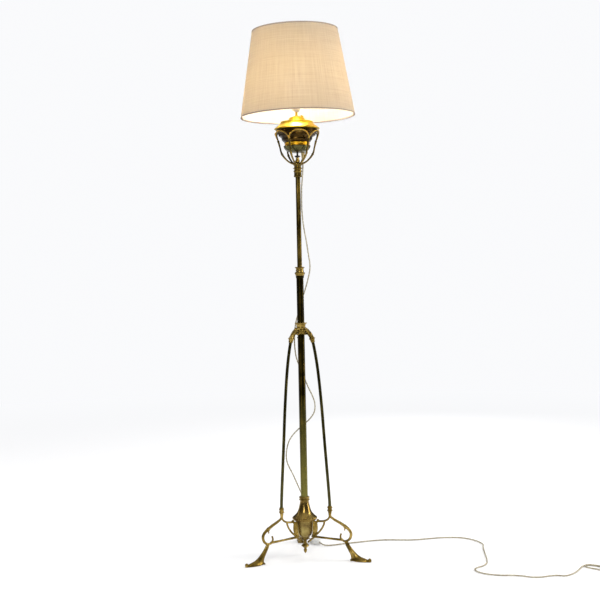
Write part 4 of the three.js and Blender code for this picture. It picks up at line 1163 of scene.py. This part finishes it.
def beads_on_curve():
    """Geometry Nodes: small beads set close together along a curve of points."""
    tree, given, out = geometry_tree("beads_on_curve", Spacing="Float", Bead="Float", Finish="Material")
    curve = node(tree, "GeometryNodeMeshToCurve", Mesh=given["Geometry"])
    even = node(tree, "GeometryNodeResampleCurve", Curve=curve.outputs[0])
    even.mode = "LENGTH"
    tree.links.new(given["Spacing"], even.inputs["Length"])
    one = node(tree, "GeometryNodeMeshIcoSphere", Radius=given["Bead"], Subdivisions=2)
    rounded = node(tree, "GeometryNodeSetShadeSmooth", Geometry=one.outputs[0])
    placed = node(
        tree, "GeometryNodeInstanceOnPoints", Points=even.outputs[0], Instance=rounded.outputs[0]
    )
    real = node(tree, "GeometryNodeRealizeInstances", Geometry=placed.outputs[0])
    painted = node(tree, "GeometryNodeSetMaterial", Geometry=real.outputs[0], Material=given["Finish"])
    tree.links.new(painted.outputs[0], out.inputs[0])
    return tree


def wire_of(name, paths):
    """A mesh of bare edges through each path of millimetre points, about the column's axis."""
    points = []
    edges = []
    for path in paths:
        start = len(points)
        points += [Vector(p) * MM + AXIS for p in path]
        edges += [(i, i + 1) for i in range(start, len(points) - 1)]
    mesh = bpy.data.meshes.new(name)
    mesh.from_pydata(points, edges, [])
    return bpy.data.objects.new(name, mesh)


arch_gold = brass(
    "arch_gold", (0.08, 0.04, 0.006), (0.36, 0.21, 0.03), (0.74, 0.48, 0.1), shine=(0.2, 0.4)
)
arches = [arch_path(CAGE_TURN + TURN * (i + 0.5) / 6, 40) for i in range(6)]
outer_line = [[(1.026 * x, 1.026 * y, z + 0.8) for x, y, z in path[2:-2]] for path in arches]
arch_beads = made_by(
    beads_on_curve(), "arch_beads", wire_of("arch_beads", outer_line), Spacing=3.7 * MM, Bead=2.1 * MM,
    Finish=arch_gold,
)
fit(arch_beads, "head", "gold_brass", arch_gold)

# ---------------------------------------------------------------- font
# Spun brass oil font in a band and a pierced gallery: tapered stem with a black wing nut below
# it, greenish bowl, bright band, round body, drip plate and stepped lid with a knurled filler cap.
black_metal = brass(
    "black_metal", (0.006, 0.006, 0.007), (0.018, 0.017, 0.016), (0.07, 0.06, 0.045), shine=(0.25, 0.4)
)
green_brass = brass(
    "green_brass", (0.02, 0.02, 0.008), (0.085, 0.08, 0.032), (0.2, 0.165, 0.06), shine=(0.16, 0.34)
)
brown_brass = brass(
    "brown_brass", (0.01, 0.005, 0.001), (0.036, 0.02, 0.005), (0.18, 0.1, 0.02), shine=(0.16, 0.34)
)
font_gold = brass(
    "font_gold", (0.16, 0.08, 0.003), (0.5, 0.33, 0.014), (0.78, 0.56, 0.04), shine=(0.32, 0.58)
)
band_gold = brass(
    "band_gold", (0.28, 0.12, 0.004), (0.62, 0.32, 0.012), (0.9, 0.55, 0.05), shine=(0.24, 0.44)
)
stem_cone = turned(
    "font_cone",
    [(3.4, 1213.8), (6.6, 1213.8), *bead((6.8, 1214.2), (7.3, 1217), 0.8, 5), (6.6, 1218),
     (5.6, 1220.4), (5, 1223.4), (4.6, 1226.5), (3.4, 1226.5)],
    48,
)
fit(stem_cone, "head", "gold_brass", cast_brass, "stem_cone")
nut_body = turned("nut", [(3.4, 1227.5), (5.8, 1227.5), (6.4, 1228.2), (6.4, 1232.8), (5.8, 1233.5),
                          (3.4, 1233.5)], 96,
                  wave=lambda a, r, z: -0.35 * (0.5 - 0.5 * math.cos(24 * a)) if r > 6 else 0)
wings = [moved(rod([(side * 5.6, 0, 1230), (side * 7, 0, 1230.8), (side * 8.6, 0, 1232)],
                   lambda s: 1.9 - 0.5 * s, 12, 0.6),
               Matrix.Translation(AXIS)) for side in (-1, 1)]
lock_nut = joined("lock_nut", [nut_body, *wings])
fit(lock_nut, "head", "black_metal", black_metal, "stem_nut")
threads = [(3 - 0.25 * (k % 2), 1205 + 0.5 * k) for k in range(97)]
stem = turned("font_screw", [(0, 1204.3), (3, 1204.3), *threads, (3, 1254), (0, 1254)], 24)
fit(stem, "head", "black_metal", black_metal, "font_stem")
bowl = turned(
    "font_pan",
    [(3.3, 1243), (20, 1243), (21.4, 1243.4), (24, 1244.6), (26, 1244.9), (28.4, 1245.4),
     (32, 1247.4), (35.4, 1250), (38, 1253), (39.8, 1256), (41, 1259.4), (41.6, 1261.4),
     (41.5, 1262.2), (39, 1262.2), (37.4, 1256.4), (33, 1250.8), (28, 1247.2), (21, 1245),
     (3.3, 1245)],
    96,
)
fit(bowl, "head", "aged_brass", green_brass, "font_bowl")
band = turned(
    "font_hoop",
    [(36.4, 1262.5), (38.4, 1262.5), *bead((38.6, 1262.7), (38.2, 1265), 0.7, 5), (37.8, 1265.6),
     (37.6, 1267.5), (37.9, 1269.4), *bead((38.2, 1269.8), (38.8, 1272.4), 0.6, 5), (38.4, 1273),
     (36.4, 1273)],
    120,
    wave=lambda a, r, z: 0.25 * math.cos(60 * a) if 1265.5 < z < 1269.6 and r > 37 else 0,
)
fit(band, "head", "gold_brass", band_gold, "font_band")
body = turned(
    "font_tank",
    [(36, 1273.3), (39, 1273.3), (42.4, 1276), (45.4, 1279), (47.2, 1281.8), (47, 1283.6),
     (46.8, 1285.4), (49, 1288.4), (52.6, 1291.2), (56, 1293.2), (56.6, 1294.4), (56.2, 1296.4),
     (58, 1298.4), (60, 1300.4), (61, 1302), (58.4, 1302), (54, 1297.6), (53.6, 1294.4), (46, 1289),
     (44.4, 1285), (44.6, 1282), (40, 1276.8), (36, 1275)],
    112,
)
fit(body, "head", "aged_brass", brown_brass, "font_body")
gallery_wall = turned(
    "gallery_rails",
    [(61, 1302.3), (62.6, 1302.3), *bead((62.8, 1302.6), (62.8, 1304.6), 0.6, 5), (62, 1305),
     (62, 1310.4), *bead((62.8, 1310.8), (62.8, 1312.8), 0.6, 5), (62.6, 1313), (61, 1313)],
    120,
    wave=lambda a, r, z: -0.7 * abs(math.sin(24 * a)) ** 0.6 if 1304.8 < z < 1310.6 and r > 61.6 else 0,
)
fit(gallery_wall, "head", "aged_brass", brown_brass, "gallery_ring")
gallery_beads = lugs("gallery_beads", 72, 62.7, 1307.7, (1.0, 1.5, 2.2), 0, brown_brass)
fit(gallery_beads, "head", "aged_brass", brown_brass)
plate = turned(
    "drip_tray",
    [(49, 1331.5), (49, 1328), (51, 1327.4), (59, 1321), (60, 1313.3), (68.4, 1313.3),
     *bead((69, 1313.6), (69, 1315.4), 0.5, 5), (68, 1316.4), (65.6, 1318.6), (62.6, 1320.8),
     (59.6, 1322.9), (56, 1325.6), (53, 1328), (51.6, 1329.4), (50.8, 1330.4), (50.6, 1331.5)],
    120,
)
fit(plate, "head", "gold_brass", font_gold, "drip_plate")
lid = turned(
    "font_dome",
    [(3.3, 1350.4), (12, 1349.2), (20, 1344.6), (23, 1339.4), (46, 1335), (47, 1331.8),
     (49.2, 1331.8), (49.6, 1333.6), *bead((49.6, 1334), (49.4, 1336.4), 0.6, 5), (47.6, 1337),
     (40, 1337.4), (32, 1337.9), (27.6, 1338.3), (26, 1338.8),
     *bead((25.2, 1339.6), (25, 1342.6), 0.9, 5), (24.2, 1343.2), (24, 1345.6), (23, 1347.4),
     (20.4, 1349.6), (17, 1350.9), (13, 1352.3), (8, 1353.4), (3.3, 1353.7)],
    112,
)
fit(lid, "head", "gold_brass", font_gold, "font_lid")
filler_axis = Vector((0.4325, -0.251, 0.866))
filler = turned(
    "filler_knob",
    [(0, 0.4), (3.3, 0.4), (3.6, 0.8), (3.6, 1.3), (4.3, 1.6), (4.6, 2), (4.6, 4), (4.2, 4.5),
     (3.4, 4.8), (1.6, 4.9), (0, 5)],
    72,
    wave=lambda a, r, z: -0.35 * (0.5 - 0.5 * math.cos(18 * a)) if r > 4.4 else 0,
    centre=Vector(),
)
filler_place = AXIS + Vector((14.8, -8.6, 1350)) * MM
moved(
    filler, Matrix.Translation(filler_place) @ filler_axis.to_track_quat("Z", "Y").to_matrix().to_4x4()
)
fit(filler, "filler", "gold_brass", band_gold, "filler_cap")
finish_cad(cast_brass, "font_nut")

# ---------------------------------------------------------------- lamp holder
# Cream moulded holder on a turned brass nipple: cap, threaded barrel and two knurled rings that
# clamp the shade carrier between them. The core inside holds the contacts.
cream = moulded("cream_plastic", (0.78, 0.7, 0.55), (0.62, 0.53, 0.38), 0.34)
nipple = turned(
    "holder_nipple",
    [(1.6, 1354), (5.4, 1354), (5.7, 1354.6), (5.2, 1355.8), (3.8, 1357.2), (3.9, 1358.4),
     (4.6, 1360.5), (4.2, 1362), (3.2, 1363), (3.5, 1364.4), (4.2, 1365.7), (1.6, 1365.7)],
    40,
)
fit(nipple, "head", "aged_brass", band_gold, "holder_stem")


def knurled(count, depth, low, high, least):
    """Grooves up and down a rim, between two heights and outside a least radius."""

    def wave(a, r, z):
        return -depth * (0.5 - 0.5 * math.cos(count * a)) if low <= z <= high and r > least else 0

    return wave


cap = turned(
    "holder_cup",
    [(4.6, 1366), (6.4, 1366), (8, 1366.8), (10, 1368.4), (10.8, 1370.2), (11.2, 1372.2),
     (11.6, 1374), (11.6, 1379.7), (10, 1379.7), (10, 1375), (9, 1370.6), (4.6, 1368)],
    96,
    wave=knurled(30, 0.5, 1373.9, 1379.8, 11.3),
)
fit(cap, "head", "cream_plastic", cream, "holder_cap")
barrel_thread = [(12.8 - 0.45 * (k % 2), 1382 + 0.8 * k) for k in range(27)]
barrel = turned("holder_tube", [(11.4, 1380), (12.6, 1380), (12.8, 1380.4), *barrel_thread,
                                (12.8, 1403.6), (12.6, 1404), (11.4, 1404)], 64)
fit(barrel, "head", "cream_plastic", cream, "holder_barrel")
for side, z in (("lower", 1394.1), ("upper", 1399.9)):
    ring = turned(
        f"clamp_ring_{side}",
        [(13.1, z), (16.6, z), (17, z + 0.4), (17, z + 3.2), (16.6, z + 3.6), (13.1, z + 3.6)],
        144,
        wave=knurled(36, 0.6, z + 0.3, z + 3.3, 16.8),
    )
    fit(ring, "head", "cream_plastic", cream, f"holder_ring_{side}")
finish_cad(cream, "holder_core")

# ---------------------------------------------------------------- shade carrier
# Zinc-plated steel wire frame: a washer between the holder's rings, three bowed wires and the
# ring that the shade's own wires rest on, butt-welded.
steel = brass(
    "steel_wire", (0.16, 0.16, 0.16), (0.38, 0.38, 0.37), (0.62, 0.62, 0.6), shine=(0.22, 0.42)
)


WIRE_R = 1.6


def hoop(radius, z, steps=96):
    """A ring of round wire about the axis, in millimetres."""
    rings = []
    for i in range(steps):
        a = TURN * i / steps
        out = Vector((math.cos(a), math.sin(a), 0))
        middle = out * radius * MM + Vector((0, 0, z * MM))
        section = [TURN * k / 10 for k in range(10)]
        rings.append(
            [middle + WIRE_R * MM * (out * math.cos(b) + Vector((0, 0, math.sin(b)))) for b in section]
        )
    return skin("hoop", rings, True)


washer = turned("washer", [(13.1, 1398.1), (20.6, 1398.1), (21, 1398.4), (21, 1399.2),
                           (20.6, 1399.5), (13.1, 1399.5)], 64,
                centre=Vector())
carrier_parts = [washer, hoop(50, 1570)]
for i in range(3):
    bow = rod([(0, 19.3, 1399.2), (0, 26, 1403), (0, 34, 1412), (0, 41, 1426), (0, 45, 1445),
               (0, 46.4, 1470), (0, 46.4, 1500), (0, 46.4, 1530), (0, 47, 1550),
               (0, 50, 1570)], WIRE_R, 12, 1.0, 3.0)
    carrier_parts.append(moved(bow, Matrix.Rotation(-(i + 0.25) * TURN / 3, 4, "Z")))
carrier = moved(joined("wire_carrier", carrier_parts), Matrix.Translation(AXIS))
fit(carrier, "head", "steel_wire", steel, "shade_carrier")

# ---------------------------------------------------------------- bulb
# Plain screw-in bulb, lit: thin opal glass over a glowing inside, with a rolled metal cap.
cap_steps = [(10.4 + 0.4 * math.sin(k * 1.05), 1391 + 0.62 * k) for k in range(32)]
bulb_base = turned("bulb_base", [(0, 1388.9), (4, 1389.1), (8, 1389.9), (10, 1390.6), *cap_steps,
                                 (10.6, 1411.6), (10.2, 1412), (0, 1412)], 48)
fit(bulb_base, "bulb", "steel_wire", steel, "bulb_cap")
glow, tree, shader = material("lit_glass")
place = node(tree, "ShaderNodeTexCoord").outputs["Object"]
height = node(tree, "ShaderNodeSeparateXYZ", _0=place).outputs["Z"]
near = node(
    tree, "ShaderNodeMapRange", Value=height, From_Min=1.42, From_Max=1.48, To_Min=0.25, To_Max=1.0
).outputs[0]
frost = node(tree, "ShaderNodeTexNoise", Vector=place, Scale=120.0, Detail=3.0).outputs[0]
tree.links.new(
    ramp(tree, frost, [(0.3, (1, 0.86, 0.66)), (0.7, (1, 0.9, 0.72))]), shader.inputs["Emission Color"]
)
power = node(tree, "ShaderNodeMath", {"operation": "MULTIPLY"}, _0=near, _1=430.0).outputs[0]
tree.links.new(power, shader.inputs["Emission Strength"])
tree.links.new(
    ramp(tree, frost, [(0.3, (0.9, 0.86, 0.78)), (0.7, (0.95, 0.92, 0.86))]),
    shader.inputs["Base Color"]
)
tree.links.new(ramp(tree, frost, [(0.3, 0.1), (0.7, 0.24)]), shader.inputs["Roughness"])
BULB_Z = 1462
BULB_R = 30
BULB_BORE = 28.8
outline = [
    (12.5, 1412.3), (12.6, 1414), (13, 1418), (14.8, 1424), (18, 1430.4), (21.6, 1435.4), (25, 1442)
]
top = math.pi / 2
SHOULDER = 0.62
swept = top + SHOULDER
climb = [-SHOULDER + swept * k / 22 for k in range(1, 22)]
outline += [(BULB_R * math.cos(a), BULB_Z + BULB_R * math.sin(a)) for a in climb]
outline += [(0.01, BULB_Z + BULB_R), (0.01, BULB_Z + BULB_BORE)]
back_down = [top - swept * k / 16 for k in range(1, 16)]
outline += [(BULB_BORE * math.cos(a), BULB_Z + BULB_BORE * math.sin(a)) for a in back_down]
outline += [(23.8, 1442.6), (17, 1431.2), (12.2, 1419), (11.3, 1412.3)]
bulb = turned("bulb_envelope", outline, 56)
fit(bulb, "bulb", "bulb_glass", glow, "bulb_glass")

# ---------------------------------------------------------------- shade
# Empire drum: slubbed oatmeal linen laminated on a white liner, rolled over wire rings and
# edged with taupe tape, with three wires from its upper ring to a ring that sits on the carrier.
SHADE_LOW = 1352
SHADE_HIGH = 1614
SHADE_LOW_R = 175
SHADE_HIGH_R = 131
SHADE_WALL = 1.4
SHADE_PIVOT = 1572
tilted = (
    Matrix.Translation(AXIS + Vector((0, 0, SHADE_PIVOT * MM)))
    @ Matrix.Rotation(math.radians(-1), 4, "Y")
    @ Matrix.Translation((0, 0, -SHADE_PIVOT * MM))
)
SHADE_SLANT = math.hypot(SHADE_HIGH - SHADE_LOW, SHADE_LOW_R - SHADE_HIGH_R) * MM


def shade_skin(name, inset, rows=40, columns=192):
    """The slanting wall as a closed skin, with a UV map in metres along its girth and its slant."""
    shape = bmesh.new()
    along = shape.loops.layers.uv.new("cloth")
    profile = [(0.0, t / rows) for t in range(rows + 1)]
    inner = [(SHADE_WALL - 2 * inset, t / rows) for t in range(rows, -1, -1)]
    grid = []
    for depth, t in profile + inner:
        r = SHADE_LOW_R + (SHADE_HIGH_R - SHADE_LOW_R) * t - depth
        z = SHADE_LOW + (SHADE_HIGH - SHADE_LOW) * t
        grid.append([
            shape.verts.new((r * MM * math.cos(TURN * k / columns),
                             r * MM * math.sin(TURN * k / columns), z * MM))
            for k in range(columns)
        ])
    girth = TURN * (SHADE_LOW_R + SHADE_HIGH_R) / 2 * MM
    count = len(grid)
    heights = [t for _, t in profile + inner]
    for i in range(count):
        for k in range(columns):
            j, m = (i + 1) % count, (k + 1) % columns
            wall = shape.faces.new((grid[i][k], grid[i][m], grid[j][m], grid[j][k]))
            wall.material_index = 1 if i > rows else 0
            for loop, (u, t) in zip(wall.loops, ((k, i), (k + 1, i), (k + 1, j), (k, j))):
                loop[along].uv = (girth * u / columns, SHADE_SLANT * heights[t])
    return to_object(name, shape, 60)


def linen_finish():
    """Slubbed plain weave that lets the bulb's light through."""
    made, tree, shader = material("shade_linen")
    cloth = node(tree, "ShaderNodeUVMap", {"uv_map": "cloth"}).outputs[0]

    def threads(across, along):
        stretched = node(tree, "ShaderNodeMapping", Vector=cloth, Scale=(across, along, 1)).outputs[0]
        return node(tree, "ShaderNodeTexNoise", Vector=stretched, Scale=1.0, Detail=2.0).outputs[0]

    warp, weft = threads(1100, 12), threads(9, 1100)
    slub_up, slub_round = threads(420, 5), threads(5, 420)
    fine = node(tree, "ShaderNodeMath", {"operation": "ADD"}, _0=warp, _1=weft).outputs[0]
    slubs = node(tree, "ShaderNodeMath", {"operation": "ADD"}, _0=slub_up, _1=slub_round).outputs[0]
    weave = node(
        tree, "ShaderNodeMath", {"operation": "MULTIPLY_ADD"}, _0=slubs, _1=0.7, _2=fine
    ).outputs[0]
    half = node(tree, "ShaderNodeMath", {"operation": "MULTIPLY"}, _0=weave, _1=0.5).outputs[0]
    tone = ramp(
        tree, half, [(0.65, (0.56, 0.49, 0.42)), (0.85, (0.68, 0.62, 0.55)), (1.0, (0.74, 0.69, 0.62))]
    )
    through = ramp(
        tree, half, [(0.65, (0.51, 0.4, 0.23)), (0.85, (0.6, 0.5, 0.3)), (1.0, (0.65, 0.56, 0.35))]
    )
    tree.links.new(tone, shader.inputs["Base Color"])
    shader.inputs["Roughness"].default_value = 0.95
    shader.inputs["IOR"].default_value = 1.18
    shader.inputs["Specular IOR Level"].default_value = 0.15
    shader.inputs["Transmission Weight"].default_value = 0.22
    bump = node(tree, "ShaderNodeBump", Strength=0.3, Distance=0.0003, Height=weave)
    tree.links.new(bump.outputs[0], shader.inputs["Normal"])
    light = node(tree, "ShaderNodeBsdfTranslucent", Color=through)
    mix = node(tree, "ShaderNodeMixShader", _0=0.55, _1=shader.outputs[0], _2=light.outputs[0])
    tree.links.new(mix.outputs[0], tree.nodes["Material Output"].inputs["Surface"])
    return made


def liner_finish():
    """White laminated liner behind the linen, faintly mottled where it has yellowed."""
    made, tree, shader = material("shade_liner")
    cloth = node(tree, "ShaderNodeUVMap", {"uv_map": "cloth"}).outputs[0]
    mottle = node(tree, "ShaderNodeTexNoise", Vector=cloth, Scale=14.0, Detail=5.0).outputs[0]
    tone = ramp(tree, mottle, [(0.3, (0.86, 0.82, 0.74)), (0.7, (0.92, 0.9, 0.85))])
    tree.links.new(tone, shader.inputs["Base Color"])
    tree.links.new(ramp(tree, mottle, [(0.3, 0.85), (0.7, 1.0)]), shader.inputs["Roughness"])
    shader.inputs["Transmission Weight"].default_value = 0.3
    shader.inputs["IOR"].default_value = 1.18
    light = node(tree, "ShaderNodeBsdfTranslucent", Color=tone)
    mix = node(tree, "ShaderNodeMixShader", _0=0.35, _1=shader.outputs[0], _2=light.outputs[0])
    tree.links.new(mix.outputs[0], tree.nodes["Material Output"].inputs["Surface"])
    return made


linen = shade_skin("linen_shade", 0)
fit(linen, "shade", "shade_linen", linen_finish(), "shade_fabric")
linen.data.materials.append(liner_finish())
linen.data.transform(tilted)
tape, tree, shader = material("shade_tape")
place = node(tree, "ShaderNodeTexCoord").outputs["Object"]
ribs = node(tree, "ShaderNodeTexNoise", Vector=place, Scale=700.0, Detail=2.0).outputs[0]
tree.links.new(
    ramp(tree, ribs, [(0.35, (0.24, 0.19, 0.15)), (0.65, (0.4, 0.33, 0.27))]),
    shader.inputs["Base Color"]
)
shader.inputs["Roughness"].default_value = 0.9
weave = node(tree, "ShaderNodeBump", Strength=0.3, Distance=0.0002, Height=ribs)
tree.links.new(weave.outputs[0], shader.inputs["Normal"])


def shade_wall_r(z):
    return SHADE_LOW_R + (SHADE_HIGH_R - SHADE_LOW_R) * (z - SHADE_LOW) / (SHADE_HIGH - SHADE_LOW)


for side, edge, away in (("top", SHADE_HIGH, -1), ("bottom", SHADE_LOW, 1)):
    r0, r1 = shade_wall_r(edge), shade_wall_r(edge + away * 3.4)
    lip = turned(
        f"shade_tape_{side}",
        [(r0 + 0.35, edge - away * 0.3), (r1 + 0.35, edge + away * 3.4),
         (r1 + 0.1, edge + away * 3.6), (r0 + 0.05, edge - away * 0.05),
         (r0 - SHADE_WALL - 0.05, edge - away * 0.05), (r1 - SHADE_WALL - 0.1, edge + away * 3.4),
         (r1 - SHADE_WALL - 0.35, edge + away * 3.4), (r0 - SHADE_WALL - 0.35, edge - away * 0.3)],
        192,
        centre=Vector(),
    )
    lip.data.transform(tilted)
    fit(lip, "shade", "shade_tape", tape)
    ring_z = edge + away * 2.6
    wire = hoop(shade_wall_r(ring_z) - SHADE_WALL - 2.2, ring_z, 128)
    wire.name = f"shade_wire_{side}"
    wire.data.transform(tilted)
    fit(wire, "shade", "shade_tape", tape, f"shade_ring_{side}")
shade_wire_parts = [hoop(50, 1574.6)]
for i in range(3):
    wire = rod([(0, 50, 1574.6), (0, 55, 1576), (0, 62, 1580), (0, 72, 1587.4), (0, 84, 1595.6),
                (0, 104, 1603.8),
                (0, shade_wall_r(1611.4) - SHADE_WALL - 5.6, 1611.2)], WIRE_R, 12, 1.0, 3.0)
    shade_wire_parts.append(moved(wire, Matrix.Rotation(-(i + 0.75) * TURN / 3, 4, "Z")))
shade_wires = joined("shade_wires", shade_wire_parts)
shade_wires.data.transform(tilted)
fit(shade_wires, "shade", "steel_wire", steel, "shade_spider")

# ---------------------------------------------------------------- plug pins
# Turned brass, held in the plug's moulding.
finish_cad(font_gold, "plug_pin_earth", "plug_pin_live", "plug_pin_neutral")
